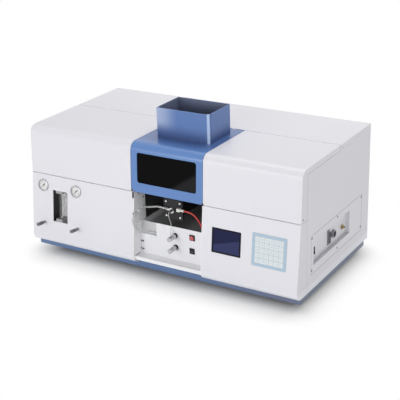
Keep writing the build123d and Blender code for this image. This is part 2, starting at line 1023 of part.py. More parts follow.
with BuildPart() as right_front_panel:
    panel_skin(bay_right, x_right)
    panel_end(x_right - sheet, x_right, wrap_edge)
    panel_end(bay_right, bay_right + sheet, bay_edge)
    front_cut(screen_left, screen_right, screen_bottom, screen_top, screen_corner)
right_front_panel.part.label = "right_front_panel"
export_step(right_front_panel.part, "parts/right_front_panel.step")

# Pressure gauges: case with bezel, dial, and a needle with a counterweight
gauge_spots = [front_spot(left_gauge, gauge_height), front_spot(right_gauge, gauge_height)]
gauge_bore = gauge_radius - gauge_bezel
with BuildPart() as gauge_cases:
    with Locations(gauge_spots):
        Cylinder(gauge_radius, gauge_stand_out, align=grow)
    flat_faces = gauge_cases.faces().filter_by(GeomType.PLANE)
    bezel_rims = flat_faces.group_by(Axis(front_face.origin, front_face.z_dir))[-1]
    fillet(bezel_rims.edges(), radius=lip_bend / 2)
    with Locations([spot.offset(-gauge_body_depth) for spot in gauge_spots]):
        Cylinder(gauge_body_radius, gauge_body_depth, align=grow)
    with Locations([spot.offset(-dial_set_back) for spot in gauge_spots]):
        Cylinder(gauge_bore, gauge_stand_out + overrun, align=grow, mode=Mode.SUBTRACT)
        Cylinder(needle_shaft + shaft_clearance, 2 * needle_shaft_depth, mode=Mode.SUBTRACT)
gauge_cases.part.label = "gauge_cases"
export_step(gauge_cases.part, "parts/gauge_cases.step")

with BuildPart() as gauge_dials:
    with Locations([spot.offset(-dial_set_back) for spot in gauge_spots]):
        Cylinder(gauge_bore - shaft_clearance, dial_thick, align=grow)
        Cylinder(needle_shaft + shaft_clearance, overrun, mode=Mode.SUBTRACT)
gauge_dials.part.label = "gauge_dials"
export_step(gauge_dials.part, "parts/gauge_dials.step")

needle_seat = dial_thick - dial_set_back + valve_knob_gap


def needle(spot):
    """Hub and shaft of a needle, its pointer turned to the zero of the dial."""
    with Locations(spot.offset(needle_seat)):
        Cylinder(needle_hub, needle_lift + needle_thick, align=grow)
    with Locations(spot.offset(-needle_shaft_depth)):
        Cylinder(needle_shaft, needle_shaft_depth + needle_seat, align=grow)
    rest = needle_rest * pi / half_circle
    level = Plane(
        origin=spot.from_local_coords((0, 0, needle_seat + needle_lift)),
        x_dir=spot.x_dir * cos(rest) + spot.y_dir * sin(rest),
        z_dir=spot.z_dir,
    )
    with BuildSketch(level) as pointer:
        Polygon(
            (0, needle_width),
            (0, -needle_width),
            (needle_reach, -needle_width / 4),
            (needle_reach, needle_width / 4),
            align=None,
        )
        Polygon(
            (0, needle_width),
            (0, -needle_width),
            (-needle_tail, -needle_tail_width / 2),
            (-needle_tail, needle_tail_width / 2),
            align=None,
        )
    extrude(pointer.sketch, amount=needle_thick)


with BuildPart() as left_gauge_needle:
    needle(gauge_spots[0])
left_gauge_needle.part.label = "left_gauge_needle"
export_step(left_gauge_needle.part, "parts/left_gauge_needle.step")

with BuildPart() as right_gauge_needle:
    needle(gauge_spots[1])
right_gauge_needle.part.label = "right_gauge_needle"
export_step(right_gauge_needle.part, "parts/right_gauge_needle.step")

# Flowmeter: housing with its two end blocks, glass tube, float
flow_middle = front_spot((flow_left + flow_right) / 2, (flow_top + flow_bottom) / 2, -sheet)
flow_width = flow_window_width + 2 * flow_margin
flow_tall = flow_window_tall / lean_cos + 2 * flow_margin
tube_offset = flow_tube_centre - (flow_left + flow_right) / 2
tube_low = flow_block - flow_tall / 2
tube_length = flow_tall - 2 * flow_block
tube_depth = -(flow_tube_set_back - sheet)
tube_base = flow_middle.from_local_coords((tube_offset, tube_low, tube_depth))
tube_place = Plane(origin=tube_base, x_dir=(1, 0, 0), z_dir=front_face.y_dir)
with BuildPart() as flowmeter_body:
    with BuildSketch(flow_middle):
        Rectangle(flow_width, flow_tall)
    extrude(amount=-flow_depth)
    with BuildSketch(flow_middle):
        Rectangle(flow_width - 2 * flow_wall, flow_tall - 2 * flow_wall)
    extrude(amount=flow_wall - flow_depth, mode=Mode.SUBTRACT)
    with BuildSketch(flow_middle):
        with Locations(
            (tube_offset, (flow_tall - flow_block) / 2),
            (tube_offset, (flow_block - flow_tall) / 2),
        ):
            Rectangle(flow_block_width, flow_block)
    extrude(amount=flow_wall - flow_depth)
flowmeter_body.part.label = "flowmeter_body"
export_step(flowmeter_body.part, "parts/flowmeter_body.step")

with BuildPart() as flowmeter_tube:
    with BuildSketch(tube_place):
        Circle(flow_tube_radius)
        Circle(flow_tube_bore, mode=Mode.SUBTRACT)
    extrude(amount=tube_length)
flowmeter_tube.part.label = "flowmeter_tube"
export_step(flowmeter_tube.part, "parts/flowmeter_tube.step")

with BuildPart() as flow_float:
    with Locations(tube_place):
        Cylinder(float_radius, float_length, align=grow)
    chamfer(flow_float.edges(), length=float_tip / 2)
flow_float.part.label = "flow_float"
export_step(flow_float.part, "parts/flow_float.step")

# Needle valves: body behind the panel, neck and nut, knurled knob on its stem
valve_spots = [left_valve_spot, right_valve_spot]
with BuildPart() as valve_bodies:
    for spot in valve_spots:
        with BuildSketch(spot.offset(-sheet)):
            Rectangle(valve_body, valve_body)
        extrude(amount=-valve_body_depth)
    with Locations([spot.offset(-sheet) for spot in valve_spots]):
        Cylinder(valve_neck, sheet, align=grow)
    with Locations(valve_spots):
        Cylinder(valve_nut, valve_nut_height, align=grow)
    with Locations([spot.offset(-stem_depth - valve_knob_gap) for spot in valve_spots]):
        Cylinder(stem_radius + shaft_clearance, stem_depth + overrun, align=grow, mode=Mode.SUBTRACT)
valve_bodies.part.label = "valve_bodies"
export_step(valve_bodies.part, "parts/valve_bodies.step")

knob_start = valve_nut_height + valve_knob_gap
grip_start = valve_reach - valve_grip


def valve_knob(spot):
    """Stem, waist and knurled grip of one valve knob."""
    with Locations(spot.offset(grip_start)):
        Cylinder(valve_knob_radius, valve_grip, align=grow)
        with PolarLocations(valve_knob_radius, valve_grooves):
            Cylinder(valve_grip_groove, valve_grip, align=grow, mode=Mode.SUBTRACT)
    with Locations(spot.offset(knob_start)):
        Cylinder(valve_waist, grip_start - knob_start, align=grow)
    with Locations(spot.offset(-stem_depth)):
        Cylinder(stem_radius, stem_depth + knob_start, align=grow)


with BuildPart() as left_valve_knob:
    valve_knob(left_valve_spot)
left_valve_knob.part.label = "left_valve_knob"
export_step(left_valve_knob.part, "parts/left_valve_knob.step")

with BuildPart() as right_valve_knob:
    valve_knob(right_valve_spot)
right_valve_knob.part.label = "right_valve_knob"
export_step(right_valve_knob.part, "parts/right_valve_knob.step")

# Display module behind its opening
screen_place = front_spot((screen_left + screen_right) / 2, (screen_top + screen_bottom) / 2, -sheet)
screen_tall = screen_window_tall / lean_cos
with BuildPart() as display_module:
    with BuildSketch(screen_place):
        Rectangle(screen_width + 2 * module_margin, screen_tall + 2 * module_margin)
    extrude(amount=-module_depth)
    with BuildSketch(screen_place):
        RectangleRounded(
            screen_width - 2 * screen_clearance, screen_tall - 2 * screen_clearance, screen_corner
        )
    extrude(amount=sheet - screen_set_back)
display_module.part.label = "display_module"
export_step(display_module.part, "parts/display_module.step")

# Membrane keypad: one overlay with raised keys, two of them double width in the lowest row
keypad_place = front_spot(keypad_centre, keypad_height)
wide_key = key_width + key_pitch_x
key_left = -key_pitch_x * (key_columns - 1) / 2
key_low = -key_pitch_y * (key_rows - 1) / 2
with BuildPart() as keypad:
    with BuildSketch(keypad_place):
        RectangleRounded(keypad_width, keypad_tall, keypad_corner)
    extrude(amount=keypad_thick)
    with BuildSketch(keypad_place.offset(keypad_thick)):
        with Locations((0, key_pitch_y / 2)):
            with GridLocations(key_pitch_x, key_pitch_y, key_columns, key_rows - 1):
                RectangleRounded(key_width, key_tall, key_corner)
        with Locations((key_left, key_low), (key_left + 3 * key_pitch_x, key_low)):
            RectangleRounded(key_width, key_tall, key_corner)
        with Locations(
            (key_left + key_pitch_x * 3 / 2, key_low), (key_left + key_pitch_x * 9 / 2, key_low)
        ):
            RectangleRounded(wide_key, key_tall, key_corner)
    extrude(amount=key_rise)
keypad.part.label = "keypad"
export_step(keypad.part, "parts/keypad.step")

# Bay: white pan with cheeks and a front lip
pan_front = y_hinge - pan_lip_front
pan_rear = y_hinge - pan_rear_front
cheek_rear = y_hinge - cheek_rear_front
cheek_top = seam_height - panel_gap
cheek_front = y_front - (seam_height - cheek_top) * tan(lean)


def cheek(x0):
    """One side wall of the bay, cut to the outline of the leaning front."""
    with BuildSketch(Plane.YZ.offset(x0)) as section:
        with BuildLine():
            FilletPolyline(
                [(cheek_rear, cheek_top), (cheek_front, cheek_top), *panel_line[2:]],
                radius=[lip_bend, tuck_bend],
            )
            Polyline(
                (tray_front, skirt_height),
                (tray_front, tray_top),
                (cheek_rear, tray_top),
                (cheek_rear, cheek_top),
            )
        make_face()
    extrude(section.sketch, amount=pan_thick)


gas_hole = (y_hinge - gas_hole_front, gas_hole_height)
cheek_inner = bay_left + pan_thick
with BuildPart() as compartment_pan:
    cheek(bay_left)
    cheek(bay_right - pan_thick)
    block(bay_left, bay_right, pan_front, pan_rear, pan_floor - pan_thick, pan_floor)
    block(bay_left, bay_right, pan_front, pan_front + pan_thick, pan_lip_bottom, pan_lip_top)
    block(bay_left, bay_right, pan_front, tray_front, pan_lip_bottom, pan_lip_bottom + pan_thick)
    block(bay_left, bay_right, pan_rear - pan_thick, pan_rear, tray_floor, pan_floor)
    with BuildSketch(Plane.YZ.offset(bay_left)):
        with Locations(
            (y_hinge - upper_hole_front, upper_hole_height),
            (y_hinge - middle_hole_front, middle_hole_height),
            gas_hole,
        ):
            Circle(hole_radius)
    extrude(amount=overrun, both=True, mode=Mode.SUBTRACT)
    drain_outlet_y = y_hinge - drain_outlet_front
    block(
        cheek_inner,
        cheek_inner + drain_outlet_reach,
        drain_outlet_y,
        drain_outlet_y + drain_outlet_size,
        drain_outlet_height - drain_outlet_size / 2,
        drain_outlet_height + drain_outlet_size / 2,
    )
compartment_pan.part.label = "compartment_pan"
export_step(compartment_pan.part, "parts/compartment_pan.step")

# Black liner round the upper part of the bay, with lens bosses where the beam passes
liner_front_y = y_hinge - liner_front
shelf_top = drip_top - drip_thick
with BuildPart() as compartment_liner:
    for x in (liner_left - sheet, liner_right):
        with BuildSketch(Plane.YZ.offset(x)):
            with BuildLine():
                Polyline(
                    (liner_front_y, tray_floor),
                    (liner_rear, tray_floor),
                    (liner_rear, liner_top),
                    (liner_front_y + liner_bevel, liner_top),
                    (liner_front_y, liner_top - liner_bevel),
                    close=True,
                )
            make_face()
        extrude(amount=sheet)
    block(liner_left, liner_right, liner_rear - sheet, liner_rear, tray_floor, liner_top)
    for x, way in ((liner_left - sheet, -1), (liner_right + sheet, 1)):
        rod((x, burner_y, beam_height), (x + way * boss_length, burner_y, beam_height), boss_radius)
        rod(
            (x - way * overrun, burner_y, beam_height),
            (x + way * (boss_length + overrun), burner_y, beam_height),
            beam_hole,
            Mode.SUBTRACT,
        )
        rod(
            (x + way * (boss_length - lens_thick - boss_step), burner_y, beam_height),
            (x + way * (boss_length + overrun), burner_y, beam_height),
            lens_radius + lens_clearance,
            Mode.SUBTRACT,
        )
    for x0, x1 in ((liner_left, bay_left + tray_shelf), (bay_right - tray_shelf, liner_right)):
        block(x0, x1, cheek_rear + panel_gap, y_hinge - drip_rear_front, shelf_top - sheet, shelf_top)
compartment_liner.part.label = "compartment_liner"
export_step(compartment_liner.part, "parts/compartment_liner.step")

with BuildPart() as lenses:
    for x, way in ((liner_left - sheet, -1), (liner_right + sheet, 1)):
        near = boss_length - lens_thick - boss_step
        rod(
            (x + way * near, burner_y, beam_height),
            (x + way * (near + lens_thick), burner_y, beam_height),
            lens_radius,
        )
    chamfer(lenses.edges(), length=lens_thick / 8)
lenses.part.label = "lenses"
export_step(lenses.part, "parts/lenses.step")

# Stainless drip tray under the burner; its front flange stands on the low part of the box
drip_left = cheek_inner + panel_gap / 2
drip_right = bay_right - pan_thick - panel_gap / 2
drip_y = y_hinge - drip_front
drip_rear = y_hinge - drip_rear_front
with BuildPart() as drip_tray:
    block(drip_left, drip_right, drip_y, drip_rear, shelf_top, drip_top)
    block(drip_left, drip_flange_right, drip_y, drip_y + drip_thick, box_low_top, drip_top)
    block(drip_left, drip_right, drip_rear - drip_thick, drip_rear, drip_top, drip_top + drip_rim)
drip_tray.part.label = "drip_tray"
export_step(drip_tray.part, "parts/drip_tray.step")

# Control box: a white cover in the shape of a step, open towards the rear
box_y = y_hinge - box_front
box_left = cheek_inner
box_right = bay_right - pan_thick
box_outline = [
    (box_left, pan_floor),
    (box_right, pan_floor),
    (box_right, box_high_top),
    (box_step, box_high_top),
    (box_step, box_low_top),
    (box_left, box_low_top),
]
knob_spots = [(knob_x, height_knob_z), (knob_x, oxidant_knob_z)]
button_place = Plane(origin=(button_x, box_y, button_z), x_dir=(1, 0, 0), z_dir=(0, -1, 0))
switch_place = Plane(origin=(switch_x, box_y, switch_z), x_dir=(1, 0, 0), z_dir=(0, -1, 0))
mains_place = Plane(origin=(recess_x, *mains_spot), x_dir=(0, 1, 0), z_dir=(1, 0, 0))
box_screw_spots = [
    (box_left + box_screw_inset, pan_floor + 2 * box_screw_inset),
    (box_left + box_screw_inset, box_low_top - 4 * box_screw_inset),
]
button_hole = button_bezel - 2 * bezel_wall
button_size = button_bezel - 4 * bezel_wall - 2 * button_clearance
with BuildPart() as control_box:
    with BuildSketch(Plane.XZ.offset(-(box_y + box_depth))):
        with BuildLine():
            Polyline(*box_outline, close=True)
        make_face()
    extrude(amount=box_depth)
    offset(amount=-box_wall, openings=control_box.faces().sort_by(Axis.Y)[-1])
    block(box_step, box_right, box_y, box_y + box_wall, box_high_top, box_rim_top)
    for x, z in knob_spots:
        rod((x, box_y, z), (x, box_y + box_wall + bush_length, z), bush_radius)
        rod(
            (x, box_y - overrun, z),
            (x, box_y + box_wall + bush_length + overrun, z),
            knob_shaft + pin_clearance,
            Mode.SUBTRACT,
        )
    with BuildSketch(button_place):
        Rectangle(button_hole, button_hole)
    extrude(amount=overrun, both=True, mode=Mode.SUBTRACT)
    with BuildSketch(switch_place):
        Rectangle(switch_width - 2 * bezel_wall, switch_tall - 2 * bezel_wall)
    extrude(amount=overrun, both=True, mode=Mode.SUBTRACT)
    for x, z in box_screw_spots:
        rod((x, box_y - overrun, z), (x, box_y + overrun, z), screw_shank, Mode.SUBTRACT)
control_box.part.label = "control_box"
export_step(control_box.part, "parts/control_box.step")


def switch_frame(place, width, tall, wall, rise, depth):
    """A switch body: a rim in front of its plate, a body behind it and an open cavity."""
    with BuildSketch(place) as rim:
        Rectangle(width, tall)
    extrude(rim.sketch, amount=rise)
    with BuildSketch(place) as core:
        Rectangle(width - 2 * wall, tall - 2 * wall)
    extrude(core.sketch, amount=-depth)
    with BuildSketch(place.offset(rise)) as hollow:
        Rectangle(width - 4 * wall, tall - 4 * wall)
    extrude(hollow.sketch, amount=wall - depth - rise, mode=Mode.SUBTRACT)


def rocker_radius(tall, wall):
    """Radius of a rocker's flanks that turns freely in its cavity."""
    return tall / 2 - 2 * wall - switch_clearance


def rocker_frame(place, width, tall, wall):
    """A switch body for a rocker, with the bearings of its axle."""
    switch_frame(place, width, tall, wall, wall, switch_depth)
    axle_depth = rocker_radius(tall, wall) / 3
    with Locations(Plane(origin=place.from_local_coords((0, 0, -axle_depth)), z_dir=place.x_dir)):
        Cylinder(rocker_axle + rocker_axle_clearance, width - 3 * wall, mode=Mode.SUBTRACT)


def rocker_cap(place, width, tall, wall):
    """A rocker: round flanks about its axle, and two faces that meet in a valley."""
    radius = rocker_radius(tall, wall)
    tilt = rocker_tilt * pi / half_circle
    ahead = place.z_dir * cos(tilt) + place.y_dir * sin(tilt)
    inner = width - 4 * wall - 2 * switch_clearance
    middle = Plane(
        origin=place.from_local_coords((0, 0, -radius / 3)), x_dir=ahead, z_dir=place.x_dir * -1
    )
    crown = radius / 3 + rocker_valley
    with BuildSketch(middle.offset(-inner / 2)) as section:
        Circle(radius)
        with BuildLine():
            Polyline(
                (-rocker_skirt, -radius),
                (crown + radius * tan(tilt), -radius),
                (crown, 0),
                (crown + radius * tan(tilt), radius),
                (-rocker_skirt, radius),
                close=True,
            )
        make_face(mode=Mode.INTERSECT)
    extrude(section.sketch, amount=inner)
    with Locations(middle):
        Cylinder(rocker_axle, width - 3 * wall - switch_clearance)


with BuildPart() as switch_bezels:
    switch_frame(button_place, button_bezel, button_bezel, bezel_wall, bezel_rise, button_depth)
    rocker_frame(switch_place, switch_width, switch_tall, bezel_wall)
    rocker_frame(mains_place, mains_width, mains_tall, mains_rim)
switch_bezels.part.label = "switch_bezels"
export_step(switch_bezels.part, "parts/switch_bezels.step")

with BuildPart() as rocker:
    rocker_cap(switch_place, switch_width, switch_tall, bezel_wall)
rocker.part.label = "rocker"
export_step(rocker.part, "parts/rocker.step")

with BuildPart() as mains_rocker:
    rocker_cap(mains_place, mains_width, mains_tall, mains_rim)
mains_rocker.part.label = "mains_rocker"
export_step(mains_rocker.part, "parts/mains_rocker.step")

# Red push button
with BuildPart() as ignition_button:
    with BuildSketch(button_place.offset(button_stand_out)):
        RectangleRounded(button_size, button_size, button_edge)
    extrude(amount=-button_stand_out - button_skirt)
    fillet(ignition_button.faces().sort_by(Axis.Y)[0].edges(), radius=button_edge / 2)
    with Locations(button_place.offset(-button_skirt)):
        Cylinder(button_stem, button_stem_length, align=(Align.CENTER, Align.CENTER, Align.MAX))
ignition_button.part.label = "ignition_button"
export_step(ignition_button.part, "parts/ignition_button.step")

# Sockets: data port and round socket in the recess, mains inlet at the rear
data_place = Plane(origin=(recess_x, *data_spot), x_dir=(0, 1, 0), z_dir=(1, 0, 0))
round_place = Plane(origin=(recess_x, *round_spot), x_dir=(0, 1, 0), z_dir=(1, 0, 0))
inlet_place = Plane(origin=(mains_inlet_x, y_back - sheet, mains_inlet_z), x_dir=(1, 0, 0), z_dir=(0, 1, 0))
with BuildPart() as electrical_sockets:
    with BuildSketch(data_place):
        RectangleRounded(data_width, data_tall, data_wall)
    extrude(amount=data_rise / 3)
    with BuildSketch(data_place.offset(-socket_depth)):
        RectangleRounded(data_shell, data_shell_tall, data_wall * 2)
    extrude(amount=socket_depth + data_rise)
    with BuildSketch(data_place.offset(data_rise)):
        RectangleRounded(data_shell - 2 * data_wall, data_shell_tall - 2 * data_wall, data_wall)
    extrude(amount=-data_rise, mode=Mode.SUBTRACT)
    with BuildSketch(data_place):
        with Locations((-data_pin_pitch / 2, 0), (data_pin_pitch / 2, 0)):
            with GridLocations(0, data_pin_pitch, 1, data_pins - 1):
                Circle(data_pin_radius)
    extrude(amount=data_rise * 2 / 3)
    with Locations(round_place):
        Cylinder(round_radius, round_rise, align=grow)
    with Locations(round_place.offset(-socket_depth)):
        Cylinder(round_body - shaft_clearance, socket_depth, align=grow)
    with Locations(round_place.offset(round_rise)):
        Cylinder(
            round_bore, round_rise, align=(Align.CENTER, Align.CENTER, Align.MAX), mode=Mode.SUBTRACT
        )
    with Locations(round_place):
        with PolarLocations(round_pin_circle, round_pins):
            Cylinder(round_pin_radius, round_rise / 2, align=grow)
    with BuildSketch(inlet_place):
        Rectangle(inlet_width + 2 * inlet_flange, inlet_tall + 2 * inlet_flange)
    extrude(amount=-inlet_wall)
    with BuildSketch(inlet_place):
        Rectangle(inlet_width, inlet_tall)
    extrude(amount=-inlet_depth)
    with BuildSketch(inlet_place):
        Rectangle(inlet_width - 2 * inlet_wall, inlet_tall - 2 * inlet_wall)
    extrude(amount=inlet_wall - inlet_depth, mode=Mode.SUBTRACT)
    with BuildSketch(inlet_place.offset(inlet_wall - inlet_depth)):
        with Locations((-inlet_pin_pitch, -inlet_wall), (0, inlet_wall), (inlet_pin_pitch, -inlet_wall)):
            Rectangle(inlet_pin_thick, inlet_pin_width)
    extrude(amount=inlet_pin_length)
electrical_sockets.part.label = "electrical_sockets"
export_step(electrical_sockets.part, "parts/electrical_sockets.step")

# Brass gas inlet in the recess
gas_place = Plane(origin=(recess_x, *gas_spot), x_dir=(0, 1, 0), z_dir=(1, 0, 0))
with BuildPart() as gas_inlet:
    with BuildSketch(gas_place):
        RegularPolygon(gas_nut, 6)
    extrude(amount=gas_nut_length)
    with Locations(gas_place.offset(gas_nut_length)):
        Cone(gas_barb, gas_barb_tip, gas_barb_reach, align=grow)
    with Locations(gas_place.offset(-gas_thread_depth)):
        Cylinder(gas_thread - shaft_clearance, gas_thread_depth, align=grow)
        Cylinder(gas_bore, 2 * (gas_thread_depth + gas_nut_length), align=grow, mode=Mode.SUBTRACT)
gas_inlet.part.label = "gas_inlet"
export_step(gas_inlet.part, "parts/gas_inlet.step")

# All screws that show: service plate, rear panel and control box
with BuildPart() as panel_screws:
    for spot in plate_screw_spots:
        flush_screw(spot, x_right, 0)
    for spot in rear_screw_spots:
        rear_screw(spot, 0)
    for x, z in box_screw_spots:
        rod((x, box_y, z), (x, box_y - screw_cone, z), screw_head * 3 / 4)
        rod((x, box_y, z), (x, box_y + screw_length, z), screw_shank - screw_clearance)
panel_screws.part.label = "panel_screws"
export_step(panel_screws.part, "parts/panel_screws.step")

# Burner: chamber with end plate and neck
plate_y = y_hinge - plate_front
chamber_rear = y_hinge - chamber_rear_front
neck_inner = neck_bore + neck_clearance
with BuildPart() as spray_chamber:
    with BuildSketch(Plane.XZ.offset(-(plate_y + plate_thick))):
        with Locations((burner_x, chamber_height)):
            RectangleRounded(plate_width, plate_tall, plate_corner)
    extrude(amount=plate_thick)
    with BuildSketch(Plane.XZ.offset(-chamber_rear)):
        with Locations((burner_x, chamber_height)):
            RectangleRounded(chamber_width, chamber_tall, chamber_corner)
    extrude(amount=chamber_rear - plate_y - plate_thick)
    rod((burner_x, burner_y, chamber_height), (burner_x, burner_y, neck_top), neck_radius)
    with BuildSketch(Plane.XZ.offset(-(chamber_rear - chamber_wall))):
        with Locations((burner_x, chamber_height)):
            RectangleRounded(
                chamber_width - 2 * chamber_wall,
                chamber_tall - 2 * chamber_wall,
                chamber_corner - chamber_wall,
            )
    extrude(amount=chamber_rear - plate_y - plate_thick - chamber_wall, mode=Mode.SUBTRACT)
    rod(
        (burner_x, burner_y, chamber_height),
        (burner_x, burner_y, neck_top + overrun),
        neck_inner,
        Mode.SUBTRACT,
    )
spray_chamber.part.label = "spray_chamber"
export_step(spray_chamber.part, "parts/spray_chamber.step")

# Nebulizer in the middle of the end plate
nose_y = plate_y - nebulizer_length
with BuildPart() as nebulizer:
    rod((burner_x, plate_y, chamber_height), (burner_x, nose_y, chamber_height), nebulizer_radius)
    rod(
        (burner_x, nose_y, chamber_height),
        (burner_x, nose_y - nebulizer_nose_length, chamber_height),
        nebulizer_nose,
    )
    chamfer(nebulizer.edges().group_by(Axis.Y)[0], length=nebulizer_ring)
nebulizer.part.label = "nebulizer"
export_step(nebulizer.part, "parts/nebulizer.step")

# White hose fittings: gas barb on the nebulizer, fuel elbow on the end plate
gas_barb_y = y_hinge - gas_barb_front
gas_barb_x = burner_x - nebulizer_radius - gas_barb_length
elbow_y = y_hinge - elbow_front
with BuildPart() as hose_fittings:
    rod((burner_x, gas_barb_y, chamber_height), (gas_barb_x, gas_barb_y, chamber_height), gas_barb_radius)
    rod(
        (burner_x, plate_y + overrun, chamber_height),
        (burner_x, nose_y - overrun, chamber_height),
        nebulizer_radius,
        Mode.SUBTRACT,
    )
    block(
        elbow_x - elbow_size / 2,
        elbow_x + elbow_size / 2,
        plate_y - elbow_reach,
        plate_y,
        elbow_height - elbow_tall / 2,
        elbow_height + elbow_tall / 2,
    )
    rod((elbow_x, elbow_y, elbow_height), (elbow_end, elbow_y, elbow_height), elbow_radius)
hose_fittings.part.label = "hose_fittings"
export_step(hose_fittings.part, "parts/hose_fittings.step")

# Burner head: a long head with a slot, on a spigot that turns in the neck
head_base = neck_top + head_gap
with BuildPart() as burner_head:
    with BuildSketch(Plane.YZ.offset(burner_x - head_length / 2)):
        with BuildLine():
            Polyline(
                (burner_y - head_width / 2, head_base),
                (burner_y + head_width / 2, head_base),
                (burner_y + head_width / 2, head_shoulder),
                (burner_y + head_top_width / 2, head_top),
                (burner_y - head_top_width / 2, head_top),
                (burner_y - head_width / 2, head_shoulder),
                close=True,
            )
        make_face()
    extrude(amount=head_length)
    rod((burner_x, burner_y, head_base - head_spigot), (burner_x, burner_y, head_base), neck_bore)
    with BuildSketch(Plane.XY.offset(head_top)):
        with Locations((burner_x, burner_y)):
            Rectangle(head_slot_length, head_slot)
    extrude(amount=-head_slot_depth, mode=Mode.SUBTRACT)
burner_head.part.label = "burner_head"
export_step(burner_head.part, "parts/burner_head.step")

# Rail on the liner's rear wall, and the carriage that runs on it
wall_y = liner_rear - sheet
rail_face = wall_y - rail_depth
journal_end = wall_y - panel_gap
with BuildPart() as burner_rail:
    block(
        burner_x - rail_foot_width / 2,
        burner_x + rail_foot_width / 2,
        wall_y - rail_lip,
        wall_y,
        rail_bottom,
        rail_top,
    )
    block(
        burner_x - rail_width / 2,
        burner_x + rail_width / 2,
        rail_face,
        wall_y - rail_lip,
        rail_bottom,
        rail_top,
    )
    rod(
        (knob_x, rail_face - overrun, height_knob_z),
        (knob_x, wall_y, height_knob_z),
        knob_shaft + pin_clearance,
        Mode.SUBTRACT,
    )
burner_rail.part.label = "burner_rail"
export_step(burner_rail.part, "parts/burner_rail.step")

gear_rear = y_hinge - gear_front
pitch_line = knob_x - gear_pitch_radius
tooth_pitch = 2 * pi * gear_pitch_radius / gear_teeth
rack_root = pitch_line - tooth_root
rack_teeth = 2 * (int((lift_travel + gear_pitch_radius / 2) / tooth_pitch) + 1)
carriage_front = rail_face - slide_clearance - carriage_depth
with BuildPart() as burner_carriage:
    block(
        burner_x - carriage_width / 2,
        burner_x + carriage_width / 2,
        carriage_front,
        wall_y - slide_clearance,
        carriage_bottom,
        carriage_top,
    )
    block(
        burner_x - rail_width / 2 - slide_clearance,
        burner_x + rail_width / 2 + slide_clearance,
        rail_face - slide_clearance,
        wall_y - rail_lip + slide_clearance,
        carriage_bottom - overrun,
        carriage_top + overrun,
        Mode.SUBTRACT,
    )
    block(
        burner_x - rail_foot_width / 2 - slide_clearance,
        burner_x + rail_foot_width / 2 + slide_clearance,
        rail_face,
        wall_y + overrun,
        carriage_bottom - overrun,
        carriage_top + overrun,
        Mode.SUBTRACT,
    )
    block(
        burner_x - arm_width / 2,
        burner_x + arm_width / 2,
        chamber_rear,
        carriage_front,
        chamber_height - arm_tall / 2,
        chamber_height + arm_tall / 2,
    )
    rack_front = gear_rear - gear_width
    block(rack_root - rack_width, rack_root, rack_front, gear_rear, rack_bottom, carriage_bottom)
    with BuildSketch(Plane.XZ.offset(-gear_rear)):
        with Locations((rack_root, height_knob_z)):
            with GridLocations(0, tooth_pitch, 1, rack_teeth):
                Polygon(
                    (0, tooth_base_width / 2),
                    (0, -tooth_base_width / 2),
                    (tooth_root + tooth_top, -tooth_tip_width / 2),
                    (tooth_root + tooth_top, tooth_tip_width / 2),
                    align=None,
                )
    extrude(amount=gear_width)
burner_carriage.part.label = "burner_carriage"
export_step(burner_carriage.part, "parts/burner_carriage.step")


def knob_body(x, z):
    """Collar and knob in front of the box, with a mark that shows how far it is turned."""
    rod((x, box_y - knob_gap, z), (x, box_y - knob_gap - knob_collar_length, z), knob_collar)
    front = box_y - knob_gap - knob_collar_length - knob_length
    rod((x, box_y - knob_gap - knob_collar_length, z), (x, front, z), knob_radius)
    block(
        x - pointer_width / 2,
        x + pointer_width / 2,
        front,
        front + pointer_depth,
        z,
        z + knob_radius,
        Mode.SUBTRACT,
    )


with BuildPart() as height_knob:
    knob_body(knob_x, height_knob_z)
    rod((knob_x, box_y - knob_gap, height_knob_z), (knob_x, journal_end, height_knob_z), knob_shaft)
    with BuildSketch(Plane.XZ.offset(-gear_rear)):
        with Locations((knob_x, height_knob_z)):
            Circle(gear_pitch_radius - tooth_root)
            with PolarLocations(0, gear_teeth):
                Polygon(
                    (gear_pitch_radius - 2 * tooth_root, tooth_base_width / 2),
                    (gear_pitch_radius - 2 * tooth_root, -tooth_base_width / 2),
                    (gear_pitch_radius - tooth_root, -tooth_base_width / 2),
                    (gear_pitch_radius + tooth_top, -tooth_tip_width / 2),
                    (gear_pitch_radius + tooth_top, tooth_tip_width / 2),
                    (gear_pitch_radius - tooth_root, tooth_base_width / 2),
                    align=None,
                )
    extrude(amount=gear_width)
height_knob.part.label = "height_knob"
export_step(height_knob.part, "parts/height_knob.step")

with BuildPart() as oxidant_knob:
    knob_body(knob_x, oxidant_knob_z)
    rod(
        (knob_x, box_y - knob_gap, oxidant_knob_z),
        (knob_x, box_y + oxidant_shaft_length, oxidant_knob_z),
        knob_shaft,
    )
oxidant_knob.part.label = "oxidant_knob"
export_step(oxidant_knob.part, "parts/oxidant_knob.step")

